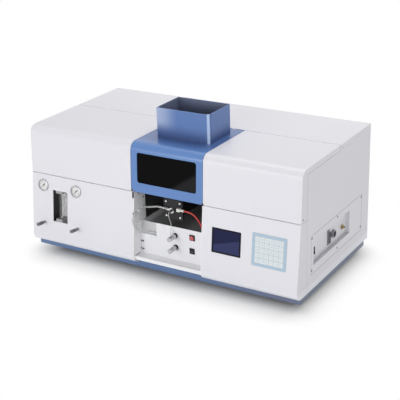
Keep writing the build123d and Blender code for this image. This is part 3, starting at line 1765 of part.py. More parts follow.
# Optical bench behind and beside the bay, on legs, with the pedestal of the lamp turret
bench_under = bench_height - bench_thick
bench_left_outer = x_left + bench_left_inset
bench_left_inner = bay_left - bench_left_gap
bench_right_inner = bay_right + bench_right_gap
bench_right_outer = x_right - bench_right_inset
bench_front = y_front + bench_set_back
bench_rear = y_back - bench_rear_inset
case_left = bay_right + case_gap
grating_x = case_left + grating_inset
turret_y = y_hinge - turret_front
bench_leg_spots = [
    (x, y)
    for x in (
        bench_left_outer + leg_inset,
        bench_left_inner - leg_inset,
        bench_right_inner + leg_inset,
        bench_right_outer - leg_inset,
    )
    for y in (bench_front + leg_inset, bench_rear - leg_inset)
]
grating_y = y_hinge - grating_front
pedestal_left = bench_left_outer + foot_edge
with BuildPart() as optical_bench:
    block(bench_left_outer, bench_left_inner, bench_front, bench_rear, bench_under, bench_height)
    block(bench_right_inner, bench_right_outer, bench_front, bench_rear, bench_under, bench_height)
    bridge = y_hinge + bench_bridge_back
    block(bench_left_inner, bench_right_inner, bridge, bench_rear, bench_under, bench_height)
    for x, y in bench_leg_spots:
        rod((x, y, tray_floor), (x, y, bench_under), leg_radius)
    block(
        pedestal_left,
        pedestal_left + pedestal_width,
        turret_y - pedestal_depth / 2,
        turret_y + pedestal_depth / 2,
        bench_height,
        beam_height + pedestal_rise,
    )
    rod(
        (pedestal_left - overrun, turret_y, beam_height),
        (pedestal_left + pedestal_width + overrun, turret_y, beam_height),
        turret_shaft + turret_clearance,
        Mode.SUBTRACT,
    )
    rod(
        (grating_x, grating_y, bench_under - overrun),
        (grating_x, grating_y, bench_height + overrun),
        spindle_radius + shaft_clearance,
        Mode.SUBTRACT,
    )
optical_bench.part.label = "optical_bench"
export_step(optical_bench.part, "parts/optical_bench.step")

# Lamp turret: two discs on a shaft, and the lamps they hold
rear_disc_x = x_left + rear_disc_inset
front_disc_x = x_left + front_disc_inset
lamp_left = x_left + lamp_inset
lamp_right = lamp_left + lamp_length
lamp_spots = [
    (
        turret_y - lamp_circle * cos(2 * pi * number / lamp_count),
        beam_height + lamp_circle * sin(2 * pi * number / lamp_count),
    )
    for number in range(lamp_count)
]
with BuildPart() as lamp_turret:
    for x, thick in ((rear_disc_x, rear_disc_thick), (front_disc_x, front_disc_thick)):
        rod((x, turret_y, beam_height), (x + thick, turret_y, beam_height), disc_radius)
    rod((pedestal_left, turret_y, beam_height), (front_disc_x, turret_y, beam_height), turret_shaft)
    rod(
        (pedestal_left + pedestal_width + valve_knob_gap, turret_y, beam_height),
        (pedestal_left + pedestal_width + turret_collar_length, turret_y, beam_height),
        turret_collar,
    )
    for y, z in lamp_spots:
        rod((lamp_left, y, z), (lamp_right, y, z), lamp_radius + lamp_clearance, Mode.SUBTRACT)
lamp_turret.part.label = "lamp_turret"
export_step(lamp_turret.part, "parts/lamp_turret.step")

with BuildPart() as hollow_cathode_lamps:
    for y, z in lamp_spots:
        rod((lamp_left, y, z), (lamp_right, y, z), lamp_radius)
        rod((lamp_left - lamp_base, y, z), (lamp_left, y, z), lamp_base_radius)
hollow_cathode_lamps.part.label = "hollow_cathode_lamps"
export_step(hollow_cathode_lamps.part, "parts/hollow_cathode_lamps.step")

# Monochromator: case with its two slits, two mirrors, and the grating on its table
case_right = bench_right_outer
case_y0 = y_hinge - case_front
case_y1 = y_hinge + case_back
exit_y = y_hinge + exit_back
with BuildPart() as monochromator_case:
    block(case_left, case_right, case_y0, case_y1, bench_height, case_top)
    offset(amount=-case_wall, openings=monochromator_case.faces().sort_by(Axis.Z)[0])
    for y in (burner_y, exit_y):
        block(
            case_left - overrun,
            case_left + 2 * overrun,
            y - slit_width / 2,
            y + slit_width / 2,
            beam_height - slit_tall / 2,
            beam_height + slit_tall / 2,
            Mode.SUBTRACT,
        )
monochromator_case.part.label = "monochromator_case"
export_step(monochromator_case.part, "parts/monochromator_case.step")

with BuildPart() as monochromator_mirrors:
    for y in (burner_y, exit_y):
        rod(
            (case_right - case_wall - mirror_thick, y, beam_height),
            (case_right - case_wall, y, beam_height),
            mirror_radius,
        )
monochromator_mirrors.part.label = "monochromator_mirrors"
export_step(monochromator_mirrors.part, "parts/monochromator_mirrors.step")

table_base = bench_height + table_gap
with BuildPart() as grating:
    rod(
        (grating_x, grating_y, bench_under - spindle_radius),
        (grating_x, grating_y, table_base),
        spindle_radius,
    )
    rod((grating_x, grating_y, table_base), (grating_x, grating_y, table_base + table_thick), table_radius)
    rod(
        (grating_x, grating_y, table_base),
        (grating_x, grating_y, beam_height - grating_tall / 2),
        post_radius,
    )
    with Locations((grating_x, grating_y, beam_height)):
        Box(grating_width, grating_thick, grating_tall)
grating.part.label = "grating"
export_step(grating.part, "parts/grating.step")

detector_left = case_left - detector_length
with BuildPart() as detector:
    middle = (detector_left + case_left) / 2
    block(
        detector_left,
        case_left,
        exit_y - detector_depth / 2,
        exit_y + detector_depth / 2,
        beam_height - detector_tall / 2,
        beam_height + detector_tall / 2,
    )
    block(
        middle - detector_foot / 2,
        middle + detector_foot / 2,
        exit_y - detector_foot / 2,
        exit_y + detector_foot / 2,
        bench_height,
        beam_height,
    )
detector.part.label = "detector"
export_step(detector.part, "parts/detector.step")

# Power supply and electronics on the floor of the tray
transformer_left = x_right - transformer_inset
transformer_right = transformer_left + transformer_width
transformer_y = y_hinge + transformer_back
with BuildPart() as power_transformer:
    block(
        transformer_left,
        transformer_right,
        transformer_y + core_margin,
        transformer_y + transformer_depth - core_margin,
        tray_floor,
        tray_floor + transformer_tall,
    )
    with BuildSketch(Plane.XY.offset(tray_floor + core_margin)):
        with Locations(((transformer_left + transformer_right) / 2, transformer_y + transformer_depth / 2)):
            RectangleRounded(transformer_width - 2 * core_margin, transformer_depth, core_margin / 2)
    extrude(amount=transformer_tall - 2 * core_margin)
power_transformer.part.label = "power_transformer"
export_step(power_transformer.part, "parts/power_transformer.step")

board_left = bay_right + board_gap
board_right = x_right - board_right_inset
board_width = board_right - board_left
board_y = y_hinge - board_front
board_depth = transformer_y - board_rear_gap - board_y
chip_pitch = chip_pitch_share * min(board_width, board_depth)
board_middle = ((board_left + board_right) / 2, board_y + board_depth / 2)
with BuildPart() as main_board:
    block(
        board_left, board_right, board_y, board_y + board_depth, board_height, board_height + board_thick
    )
    with BuildSketch(Plane.XY.offset(tray_floor)):
        with Locations(board_middle):
            with GridLocations(board_width - 2 * standoff_inset, board_depth - 2 * standoff_inset, 2, 2):
                Circle(standoff_radius)
    extrude(amount=board_height - tray_floor)
    with BuildSketch(Plane.XY.offset(board_height + board_thick)):
        with Locations(board_middle):
            with GridLocations(chip_pitch, chip_pitch, chip_rows, chip_rows):
                Rectangle(chip_size, chip_size)
    extrude(amount=chip_tall)
main_board.part.label = "main_board"
export_step(main_board.part, "parts/main_board.step")


# Hoses. Their routes are points in front of the hinge line, to the right of the middle, above
# the bench: (x, distance in front of the hinge line, height).
def routed(points):
    """Points of a hose route, turned into places in the model."""
    return [(x, y_hinge - ahead, z) for x, ahead, z in points]


def hose(name, points, diameter):
    """A hose along its route: one tube of constant section."""
    path = tube_path(routed(points))
    with BuildPart() as tube:
        with BuildSketch(Plane(origin=path @ 0, z_dir=path % 0)):
            Circle(diameter / 2)
        sweep(path=path)
    section = pi * diameter**2 / 4
    print(name, "volume over section times length", round(tube.part.volume / section / path.length, 4))
    tube.part.label = name
    export_step(tube.part, f"parts/{name}.step")


fuel_end = (150, 245.5)
gas_route = [
    (liner_left, gas_hole_front, gas_hole_height),
    (-77, gas_hole_front, gas_hole_height),
    (-51, 231, 216.5),
    (-23, 243, 227),
    (4, gas_barb_front, chamber_height),
    (gas_barb_x, gas_barb_front, chamber_height),
]
fuel_route = [
    (elbow_end, elbow_front, elbow_height),
    (104, elbow_front, elbow_height),
    (124, 250, 226),
    (139, 247.5, 206),
    (*fuel_end, 184),
    (*fuel_end, box_high_top),
]
drain_route = [
    (cheek_inner + drain_outlet_reach / 2, drain_outlet_front, drain_outlet_height),
    (cheek_inner + drain_outlet_reach / 2, 286, drain_outlet_height),
    (-82, 301, 194),
    (-80, 302, 176),
    (-76, 289, 156),
    (-66, 270, 141),
    (-43, 247, 132),
    (box_step, 247, 132),
]
capillary_route = [
    (burner_x, plate_front + nebulizer_length + nebulizer_nose_length, chamber_height),
    (burner_x, 276, chamber_height),
    (40.5, 281, 219),
    (39, 278, 206),
    (38, 271, 193),
    (38.5, 266, 178),
    (37, 263.5, 162),
    (35.5, 263, 147),
    (36, 262, 133),
]
hose("gas_hose", gas_route, gas_hose_diameter)
hose("fuel_hose", fuel_route, fuel_hose_diameter)
hose("drain_hose", drain_route, drain_hose_diameter)
hose("capillary", capillary_route, capillary_diameter)
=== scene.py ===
"""Looks of a flame spectrometer for the laboratory bench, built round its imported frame.

X runs along the front, the front looks towards -Y and Z is up. Pieces are measured in
millimetres, as in the solids' own source: front() turns heights on the lower front into places on
its leaning face, and ahead() takes distances in front of the covers' hinge line. Both give
metres. Camera, zones of materials, floor and lamps are in metres too.
"""

import math

import bmesh
import bpy
from mathutils import Matrix, Vector

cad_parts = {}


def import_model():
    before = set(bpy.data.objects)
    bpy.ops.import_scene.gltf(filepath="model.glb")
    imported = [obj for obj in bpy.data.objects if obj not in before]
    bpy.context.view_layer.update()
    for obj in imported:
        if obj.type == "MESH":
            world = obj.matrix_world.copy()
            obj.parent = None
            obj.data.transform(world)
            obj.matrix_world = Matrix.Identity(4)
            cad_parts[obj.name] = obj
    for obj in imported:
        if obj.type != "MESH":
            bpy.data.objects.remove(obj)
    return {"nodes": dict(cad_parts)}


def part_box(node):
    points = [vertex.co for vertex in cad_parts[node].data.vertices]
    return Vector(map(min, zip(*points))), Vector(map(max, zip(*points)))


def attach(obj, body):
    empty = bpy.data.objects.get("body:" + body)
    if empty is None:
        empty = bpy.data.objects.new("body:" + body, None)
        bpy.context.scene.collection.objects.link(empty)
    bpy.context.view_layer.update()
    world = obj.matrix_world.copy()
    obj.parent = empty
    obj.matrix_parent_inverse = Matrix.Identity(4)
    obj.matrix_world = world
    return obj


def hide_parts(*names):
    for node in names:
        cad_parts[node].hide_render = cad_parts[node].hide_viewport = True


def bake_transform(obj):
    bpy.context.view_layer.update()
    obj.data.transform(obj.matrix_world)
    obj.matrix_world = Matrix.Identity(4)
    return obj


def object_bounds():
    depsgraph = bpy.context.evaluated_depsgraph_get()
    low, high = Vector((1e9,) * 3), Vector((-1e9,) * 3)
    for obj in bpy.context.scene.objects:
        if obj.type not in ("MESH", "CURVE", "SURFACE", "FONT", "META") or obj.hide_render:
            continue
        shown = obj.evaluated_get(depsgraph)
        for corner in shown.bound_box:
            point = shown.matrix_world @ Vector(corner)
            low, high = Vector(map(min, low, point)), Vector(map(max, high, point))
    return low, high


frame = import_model()
cad_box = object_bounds()
cad = frame["nodes"]
MM = 0.001

# Cabinet: its rear face comes from the frame, the rest is the solids' own sizes
CABINET_DEPTH = 522
COVER_DEPTH = 277  # hinge line to the seam across the front
SEAM = 278
LEAN = math.atan2(24, 212)
Y_BACK = cad_box[1][1] / MM
Y_FRONT = Y_BACK - CABINET_DEPTH
Y_HINGE = Y_FRONT + COVER_DEPTH
X_RIGHT = cad_box[1][0] / MM

RIGHT = Vector((1, 0, 0))
BACK = Vector((0, 1, 0))
HIGH = Vector((0, 0, 1))
OUT = Vector((0, -math.cos(LEAN), math.sin(LEAN)))
UP = Vector((0, math.sin(LEAN), math.cos(LEAN)))
FRONT_ORIGIN = Vector((0, Y_FRONT, SEAM))


def front(x, z, out=0.0):
    """Place on the lower front at height z, that far in front of its face, in metres."""
    along = (z - SEAM) / math.cos(LEAN)
    return (Vector((x, 0, 0)) + FRONT_ORIGIN + UP * along + OUT * out) * MM


def ahead(x, front_of_hinge, z):
    """Place by x, distance in front of the hinge line and height, in metres."""
    return Vector((x, Y_HINGE - front_of_hinge, z)) * MM


def place(origin, x_dir, y_dir):
    """Matrix of a flat place: its own x, y and z become x_dir, y_dir and their cross product."""
    x, y = Vector(x_dir).normalized(), Vector(y_dir).normalized()
    z = x.cross(y)
    rows = [[x[i], y[i], z[i], origin[i]] for i in range(3)]
    return Matrix([*rows, [0, 0, 0, 1]])


def front_place(x, z, out=0.0):
    return place(front(x, z, out), RIGHT, UP)


def facing_front(x, front_of_hinge, z):
    """A flat place that looks straight ahead."""
    return place(ahead(x, front_of_hinge, z), RIGHT, HIGH)


def facing_right(x, front_of_hinge, z):
    """A flat place that looks to the right."""
    return place(ahead(x, front_of_hinge, z), BACK, HIGH)


def facing_up(x, front_of_hinge, z):
    """A flat place that looks up."""
    return place(ahead(x, front_of_hinge, z), RIGHT, BACK)


def added(name, data):
    """A new object in the scene."""
    thing = bpy.data.objects.new(name, data)
    bpy.context.scene.collection.objects.link(thing)
    return thing


# Camera, from the cabinet's straight edges in the photograph
LENS = 90.51
SENSOR = 36
VIEW = (
    (0.85521771, -0.16934279, 0.4898221, 1.69182589),
    (0.5173371, 0.33558623, -0.78723834, -2.68928084),
    (-0.03106441, 0.92666332, 0.37460659, 1.46485862),
    (0, 0, 0, 1),
)
camera = bpy.data.cameras.new("camera")
camera.sensor_width = SENSOR
camera.lens = LENS
eye = added("camera", camera)
eye.matrix_world = Matrix(VIEW)
bpy.context.scene.camera = eye
bpy.context.scene.view_settings.view_transform = "Standard"


# Nodes of a material's tree
COLOR_A, COLOR_B, COLOR_OUT = 6, 7, 2  # sockets of a Mix node set to colours
FLOAT_A, FLOAT_B = 2, 3  # and of one set to numbers
FAR = 1.0  # metres, beyond the whole object


def feed(tree, value, socket):
    """Gives an input a plain value, or links another node's output to it."""
    if isinstance(value, bpy.types.NodeSocket):
        tree.links.new(value, socket)
    else:
        socket.default_value = value


def new_node(tree, kind, inputs, **settings):
    """A node whose inputs are given by name or number, as plain values or other nodes' outputs."""
    node = tree.nodes.new(kind)
    for key, value in settings.items():
        setattr(node, key, value)
    for key, value in inputs.items():
        feed(tree, value, node.inputs[key])
    return node


def worked_out(tree, operation, a, b):
    """Output of a Math node over two plain values or outputs."""
    return new_node(tree, "ShaderNodeMath", {0: a, 1: b}, operation=operation).outputs[0]


def soft_step(tree, value, start, end, low=0.0, high=1.0):
    """A soft change from low at start to high at end."""
    inputs = {"Value": value, "From Min": start, "From Max": end, "To Min": low, "To Max": high}
    node = new_node(tree, "ShaderNodeMapRange", inputs, interpolation_type="SMOOTHSTEP")
    return node.outputs[0]


def box_distance(tree, spot, centre, half):
    """How far a place lies outside an upright box, in metres."""
    zero = (0, 0, 0)
    for operation, value in (("SUBTRACT", centre), ("ABSOLUTE", zero), ("SUBTRACT", half),
                             ("MAXIMUM", zero), ("LENGTH", zero)):
        node = new_node(tree, "ShaderNodeVectorMath", {0: spot, 1: value}, operation=operation)
        spot = node.outputs["Value" if operation == "LENGTH" else "Vector"]
    return spot


def corners(node):
    """Lowest and highest corner of a solid's box, in metres."""
    low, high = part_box(node)
    return Vector(low), Vector(high)


class Finish:
    """A procedural material: cloudy colour, fine grain in roughness and bump, painted zones."""

    CLOUD_DETAIL = 3.0
    GRAIN_DETAIL = 2.0
    SMOOTHEST = 0.02

    def __init__(self, name, color, rough, metallic=0.0, vary=0.04, cloud=7.0, grain=900.0,
                 bump=0.15, depth=0.00003, rough_vary=0.05, stretch=(1, 1, 1), **sockets):
        self.mat = bpy.data.materials.new(name)
        self.mat.use_nodes = True
        self.tree = self.mat.node_tree
        self.shader = self.tree.nodes["Principled BSDF"]
        self.place = self.tree.nodes.new("ShaderNodeTexCoord").outputs["Object"]
        spread = self.output("ShaderNodeMapping", {"Vector": self.place, "Scale": stretch})
        clouds = self.noise(spread, cloud, self.CLOUD_DETAIL)
        fine = self.noise(spread, grain, self.GRAIN_DETAIL)
        low, high = ([c * part for c in color] for part in (1 - vary, 1 + vary))
        self.color = self.mix(clouds, (*low, 1.0), (*high, 1.0))
        roughness = self.output("ShaderNodeMapRange", {
            "Value": fine, "To Min": max(rough - rough_vary, self.SMOOTHEST),
            "To Max": min(rough + rough_vary, 1.0)})
        relief = self.output("ShaderNodeBump", {
            "Height": fine, "Strength": bump, "Distance": depth})
        self.give("Base Color", self.color)
        self.give("Roughness", roughness)
        self.give("Normal", relief)
        self.give("Metallic", metallic)
        for name, value in sockets.items():
            self.give(name.replace("_", " "), value)

    def give(self, name, value):
        """Gives the shader's input a plain value or an output."""
        feed(self.tree, value, self.shader.inputs[name])

    def output(self, kind, inputs, index=0, **settings):
        return new_node(self.tree, kind, inputs, **settings).outputs[index]

    def noise(self, vector, scale, detail):
        inputs = {"Vector": vector, "Scale": scale, "Detail": detail}
        return self.output("ShaderNodeTexNoise", inputs)

    def mix(self, factor, a, b):
        """A colour from a, where the factor is 0, to b, where it is 1."""
        inputs = {0: factor, COLOR_A: a, COLOR_B: b}
        return self.output("ShaderNodeMix", inputs, COLOR_OUT, data_type="RGBA")

    def both(self, *masks):
        """1 where every mask is 1."""
        found = masks[0]
        for mask in masks[1:]:
            found = worked_out(self.tree, "MULTIPLY", found, mask)
        return found

    def outside(self, mask):
        """1 where a mask is 0."""
        return worked_out(self.tree, "SUBTRACT", 1.0, mask)

    def along(self, direction, origin=(0, 0, 0)):
        """How far a point of the surface lies along a direction from an origin, in metres."""
        inputs = {0: self.place, 1: direction}
        whole = self.output("ShaderNodeVectorMath", inputs, "Value", operation="DOT_PRODUCT")
        return worked_out(self.tree, "SUBTRACT", whole, Vector(direction).dot(Vector(origin)))

    def below(self, value, limit):
        """1 where a value is under a limit."""
        return worked_out(self.tree, "LESS_THAN", value, limit)

    def beyond(self, value, limit):
        """1 where a value is over a limit."""
        return worked_out(self.tree, "GREATER_THAN", value, limit)

    def within(self, value, low, high):
        """1 where a value lies from low to high."""
        return self.both(self.beyond(value, low), self.below(value, high))

    def fade(self, value, start, end, strength=1.0):
        """A soft change from 0 at start to a strength at end."""
        return soft_step(self.tree, value, start, end, high=strength)

    def inside(self, low, high):
        """1 inside a box, its corners in metres."""
        axes = (RIGHT, BACK, HIGH)
        return self.both(*[self.within(self.along(a), low[i], high[i]) for i, a in enumerate(axes)])

    def inside_rounded(self, low, high, radius):
        """1 inside an upright box whose corners are rounded, seen from above."""
        low, high = Vector(low), Vector(high)
        half = (high - low) / 2 - Vector((radius, radius, 0))
        away = box_distance(self.tree, self.place, (low + high) / 2, half)
        return self.both(self.below(away, radius), self.inside(low, high))

    def blend(self, mask, name, value):
        """Gives a number of the shader another value where the mask is 1."""
        socket = self.shader.inputs[name]
        before = socket.links[0].from_socket if socket.links else socket.default_value
        inputs = {0: mask, FLOAT_A: before, FLOAT_B: value}
        self.give(name, self.output("ShaderNodeMix", inputs, data_type="FLOAT"))

    def zone(self, mask, color, rough=None, metallic=None):
        """Another finish where the mask is 1."""
        self.color = self.mix(mask, self.color, (*color, 1.0))
        self.give("Base Color", self.color)
        if rough is not None:
            self.blend(mask, "Roughness", rough)
        if metallic is not None:
            self.blend(mask, "Metallic", metallic)


# Materials of one kind each: a name, a colour, how rough it is, and what else differs
def paint(name, color, rough=0.42):
    """Baked enamel on sheet metal, with a fine orange peel."""
    return Finish(name, color, rough, vary=0.015, grain=500.0, bump=0.10, depth=0.00004,
                  Coat_Weight=0.06, Coat_Roughness=0.4)


def gloss_paint(name, color):
    """Glossy enamel of the hood and its chimney."""
    return Finish(name, color, 0.34, vary=0.03, grain=500.0, bump=0.08, depth=0.00004,
                  rough_vary=0.03, Coat_Weight=0.3, Coat_Roughness=0.25)


def metal(name, color, rough, **more):
    """Bare metal."""
    return Finish(name, color, rough, metallic=1.0, **more)


def polished(name, color, rough, **more):
    """Smooth glass or mirror."""
    return Finish(name, color, rough, grain=300.0, bump=0.01, rough_vary=0.01, **more)


def printed(name, color, vary):
    """Matt printing ink."""
    return Finish(name, color, 0.6, vary=vary, grain=2000.0, bump=0.05)


BLACK = (0.05, 0.05, 0.052)
white_paint = paint("white_enamel", (0.75, 0.745, 0.79))
bay_paint = paint("bay_enamel", (0.88, 0.88, 0.89), 0.4)
box_paint = paint("box_enamel", (0.80, 0.80, 0.83), 0.38)
blue_paint = gloss_paint("blue_enamel", (0.098, 0.215, 0.50))
flue_paint = gloss_paint("flue_enamel", (0.078, 0.17, 0.42))
tray_paint = Finish("tray_enamel", (0.112, 0.189, 0.36), 0.35, vary=0.03, grain=500.0, bump=0.10,
                    depth=0.00004, Coat_Weight=0.25, Coat_Roughness=0.2)
black_paint = Finish("matt_black_enamel", BLACK, 0.5, vary=0.25, grain=1200.0, bump=0.25,
                     depth=0.00006)
rubber = Finish("foot_rubber", (0.02, 0.02, 0.02), 0.75, vary=0.2, grain=1500.0, bump=0.4)
drip_steel = Finish("worn_steel", (0.17, 0.172, 0.175), 0.38, metallic=0.15, vary=0.12,
                    grain=260.0, bump=0.15, rough_vary=0.08, stretch=(0.25, 6, 6))
turned = metal("turned_steel", (0.55, 0.55, 0.57), 0.28, vary=0.08, grain=700.0, bump=0.15,
               rough_vary=0.08)
knurled = metal("knurled_steel", (0.20, 0.20, 0.21), 0.25, vary=0.7, cloud=220.0, bump=0.3,
                rough_vary=0.1)
knob_steel = metal("knob_steel", (0.50, 0.50, 0.51), 0.25, vary=0.35, cloud=120.0, bump=0.2,
                   rough_vary=0.1)
ring_chrome = metal("bezel_chrome", (0.46, 0.46, 0.49), 0.14, vary=0.15, cloud=60.0, grain=800.0,
                    bump=0.03, rough_vary=0.03)
screw_steel = Finish("blackened_screws", (0.10, 0.10, 0.105), 0.35, metallic=0.8, vary=0.2,
                     bump=0.1)
chrome = metal("bright_chrome", (0.80, 0.80, 0.82), 0.08, vary=0.03, grain=800.0, bump=0.03,
               rough_vary=0.03)
aluminium = metal("milled_aluminium", (0.52, 0.53, 0.55), 0.38, vary=0.08, grain=400.0, bump=0.2,
                  stretch=(1, 1, 0.15))
black_anodised = Finish("black_anodising", (0.03, 0.03, 0.033), 0.42, metallic=0.4, vary=0.2,
                        grain=1500.0, bump=0.2)
dark_metal = Finish("dark_anodising", (0.10, 0.10, 0.11), 0.4, metallic=0.6, vary=0.2, bump=0.2)
casting = Finish("painted_casting", (0.16, 0.18, 0.21), 0.5, vary=0.1, grain=240.0, bump=0.5,
                 depth=0.0002)
brass = metal("turned_brass", (0.36, 0.27, 0.12), 0.25, vary=0.1, grain=700.0, bump=0.1)
black_plastic = Finish("black_plastic", (0.012, 0.011, 0.013), 0.42, vary=0.2, grain=1400.0,
                       bump=0.2, Specular_IOR_Level=0.3)
gloss_black = Finish("satin_black_plastic", (0.012, 0.012, 0.014), 0.36, vary=0.2, bump=0.04,
                     Specular_IOR_Level=0.25)
red_plastic = Finish("red_plastic", (0.52, 0.10, 0.10), 0.34, vary=0.1, bump=0.05,
                     Coat_Weight=0.2, Coat_Roughness=0.2)
white_plastic = Finish("white_plastic", (0.74, 0.74, 0.70), 0.4, vary=0.05, grain=1200.0, bump=0.1,
                       Subsurface_Weight=0.05, Subsurface_Scale=0.002)
grey_plastic = Finish("grey_plastic", (0.25, 0.26, 0.28), 0.45, vary=0.08, grain=1200.0, bump=0.1)
ceramic = Finish("ceramic", (0.72, 0.70, 0.64), 0.35, vary=0.04, bump=0.08)
dial_white = Finish("dial_white", (0.82, 0.82, 0.80), 0.5, vary=0.03, grain=1500.0, bump=0.05)
ink = printed("black_ink", (0.02, 0.02, 0.022), 0.2)
grey_ink = printed("grey_ink", (0.30, 0.30, 0.32), 0.15)
key_ink = printed("key_ink", (0.34, 0.39, 0.46), 0.1)
clear_glass = polished("clear_glass", (0.97, 0.98, 0.98), 0.03, vary=0.01,
                       Transmission_Weight=1.0, IOR=1.45)
thin_glass = polished("thin_glass", (0.97, 0.98, 0.98), 0.05, vary=0.01, Alpha=0.10)
mirror = polished("front_mirror", (0.90, 0.91, 0.92), 0.03, metallic=1.0, vary=0.02)
red_hose = Finish("red_hose", (0.50, 0.035, 0.03), 0.3, vary=0.1, grain=700.0, bump=0.08,
                  Subsurface_Weight=0.1, Subsurface_Scale=0.002)
clear_hose = Finish("clear_hose", (0.72, 0.74, 0.73), 0.2, vary=0.06, grain=500.0, bump=0.05,
                    Transmission_Weight=0.45, IOR=1.4)
board_green = Finish("board_green", (0.015, 0.14, 0.06), 0.35, vary=0.2, grain=400.0, bump=0.2)

# Zones: a fade's pair of numbers says where it starts and where it is full

# White enamel: small dark holes at the foot of the covers' edge and along the top of the side
HOLES = (  # distance in front of the hinge line, height, size
    (262, 289, 4.8),
    (-23, 427, 3),
    (-55, 424, 3),
    (-78, 422, 3),
)
for depth, z, size in HOLES:
    spot, reach = ahead(X_RIGHT, depth, z), Vector((size, size, size)) * MM / 2
    hole = white_paint.inside(spot - reach, spot + reach)
    white_paint.zone(hole, (0.05, 0.05, 0.05), 0.6)

# White enamel: the joint round the service plate, drawn on the outer faces only
PLATE_LOW, PLATE_HIGH = corners("service_plate")
JOINT = 0.0007  # half of its width
OUTER_SKIN = 0.0005
grown = white_paint.inside((PLATE_HIGH.x - OUTER_SKIN, PLATE_LOW.y - JOINT, PLATE_LOW.z - JOINT),
                           (PLATE_HIGH.x + FAR, PLATE_HIGH.y + JOINT, PLATE_HIGH.z + JOINT))
shrunk = white_paint.inside((-FAR, PLATE_LOW.y + JOINT, PLATE_LOW.z + JOINT),
                            (FAR, PLATE_HIGH.y - JOINT, PLATE_HIGH.z - JOINT))
white_paint.zone(white_paint.both(grown, white_paint.outside(shrunk)), (0.22, 0.22, 0.23), 0.6)

# White enamel: the sill of the recess in a darker grey, and painted light that the floor throws on
# the lowest edge
SILL_LOW, SILL_HIGH = 0.109, 0.1116
LOW_EDGE = (0.060, 0.046)
sill = white_paint.inside((PLATE_LOW.x - FAR, PLATE_LOW.y, SILL_LOW),
                          (PLATE_HIGH.x - OUTER_SKIN, PLATE_HIGH.y, SILL_HIGH))
white_paint.zone(sill, (0.50, 0.50, 0.53), 0.5)
low_edge = white_paint.fade(white_paint.along(HIGH), *LOW_EDGE, strength=0.8)
white_paint.zone(low_edge, (0.87, 0.88, 0.93))

# Tray: painted reflection, greyer towards its right end
TRAY_REFLECTION = (0.05, 0.52)
painted_reflection_to_right = tray_paint.fade(tray_paint.along(RIGHT), *TRAY_REFLECTION, strength=0.8)
tray_paint.zone(painted_reflection_to_right, (0.155, 0.173, 0.245))

# Drip tray: bright along its left end and on its front
BRIGHT_STEEL = (0.62, 0.62, 0.63)
LEFT_END = (-0.046, -0.082)
DRIP_FRONT = corners("drip_tray")[0].y
FRONT_SKIN = 0.0006
left_end = drip_steel.fade(drip_steel.along(RIGHT), *LEFT_END)
drip_steel.zone(left_end, BRIGHT_STEEL)
drip_front = drip_steel.within(drip_steel.along(BACK), -FAR, DRIP_FRONT + FRONT_SKIN)
drip_steel.zone(drip_front, BRIGHT_STEEL)

# Control knobs: dark collars against the box
BOX_FRONT = 252
COLLAR = 9
collar_from = ahead(0, BOX_FRONT + COLLAR, 0).y
collars = knob_steel.within(knob_steel.along(BACK), collar_from, collar_from + 2 * COLLAR * MM)
knob_steel.zone(collars, BLACK, 0.5)

# Chimney: a painted reflection makes it paler towards its left edge, painted shade makes it deeper
# towards its foot, and a painted highlight runs along its rounded edge
FLUE_LOW, FLUE_HIGH = corners("chimney")
FLUE_FOOT = 0.442
FLUE_ROUND = 0.018
REFLECTION_FROM_LEFT = (0.085, 0.005)
REFLECTION_FROM_FOOT = (0.01, 0.06)
SHADE_FROM_FOOT = (0.055, -0.004)
HIGHLIGHT_DEPTHS = (0.0009, 0.0003)
HIGHLIGHT_WAY = Vector((1, -1, 0)).normalized()
from_left = flue_paint.along(RIGHT, FLUE_LOW)
from_foot = flue_paint.along(HIGH, (0, 0, FLUE_FOOT))
# Painted reflection: paler up towards the left edge
painted_reflection_up_left = flue_paint.both(flue_paint.fade(from_left, *REFLECTION_FROM_LEFT, strength=0.8),
                          flue_paint.fade(from_foot, *REFLECTION_FROM_FOOT))
flue_paint.zone(painted_reflection_up_left, (0.40, 0.48, 0.66))
# Painted shade: deeper towards the foot
painted_shade_to_foot = flue_paint.fade(from_foot, *SHADE_FROM_FOOT, strength=0.92)
flue_paint.zone(painted_shade_to_foot, (0.020, 0.045, 0.16))
# Painted highlight along the rounded front edge
highlight_centre = Vector((FLUE_HIGH.x - FLUE_ROUND, FLUE_LOW.y + FLUE_ROUND, 0))
edge = flue_paint.fade(flue_paint.along(HIGHLIGHT_WAY, highlight_centre),
                       *(FLUE_ROUND - depth for depth in HIGHLIGHT_DEPTHS), strength=0.85)
flue_paint.zone(edge, (0.50, 0.63, 0.86), 0.2)

# Chimney: dark inside, up to its rim. One corner of the hollow is rounded, the others are sharp
FLUE_SKIN = 0.001  # half of its wall
FLUE_RIM = FLUE_HIGH.z - 0.0004
HOLLOW_FROM = 0.3
round_corner = flue_paint.inside_rounded(
    (FLUE_LOW.x - FAR, FLUE_LOW.y + FLUE_SKIN, HOLLOW_FROM),
    (FLUE_HIGH.x - FLUE_SKIN, FLUE_HIGH.y + FAR, FLUE_RIM), FLUE_ROUND - FLUE_SKIN)
sharp_corners = flue_paint.inside(
    (FLUE_LOW.x + FLUE_SKIN, FLUE_LOW.y, HOLLOW_FROM),
    (FLUE_HIGH.x, FLUE_HIGH.y - FLUE_SKIN, FLUE_RIM))
flue_paint.zone(flue_paint.both(round_corner, sharp_corners), (0.15, 0.18, 0.28), 0.45)

# Nebulizer: dark nose in its bright nut, told apart by the distance from its centre line
NOSE_RADIUS = 0.0056
NEBULIZER = sum(corners("nebulizer"), Vector()) / 2
CENTRE_LINE = BACK  # half of a box that is as thin as a line
nebulizer_metal = metal("nebulizer_metal", (0.80, 0.80, 0.82), 0.1, vary=0.03, grain=800.0,
                        bump=0.03, rough_vary=0.03)
from_axis = box_distance(nebulizer_metal.tree, nebulizer_metal.place, NEBULIZER, CENTRE_LINE)
nose = nebulizer_metal.below(from_axis, NOSE_RADIUS)
nebulizer_metal.zone(nose, BLACK, 0.4, 0.0)
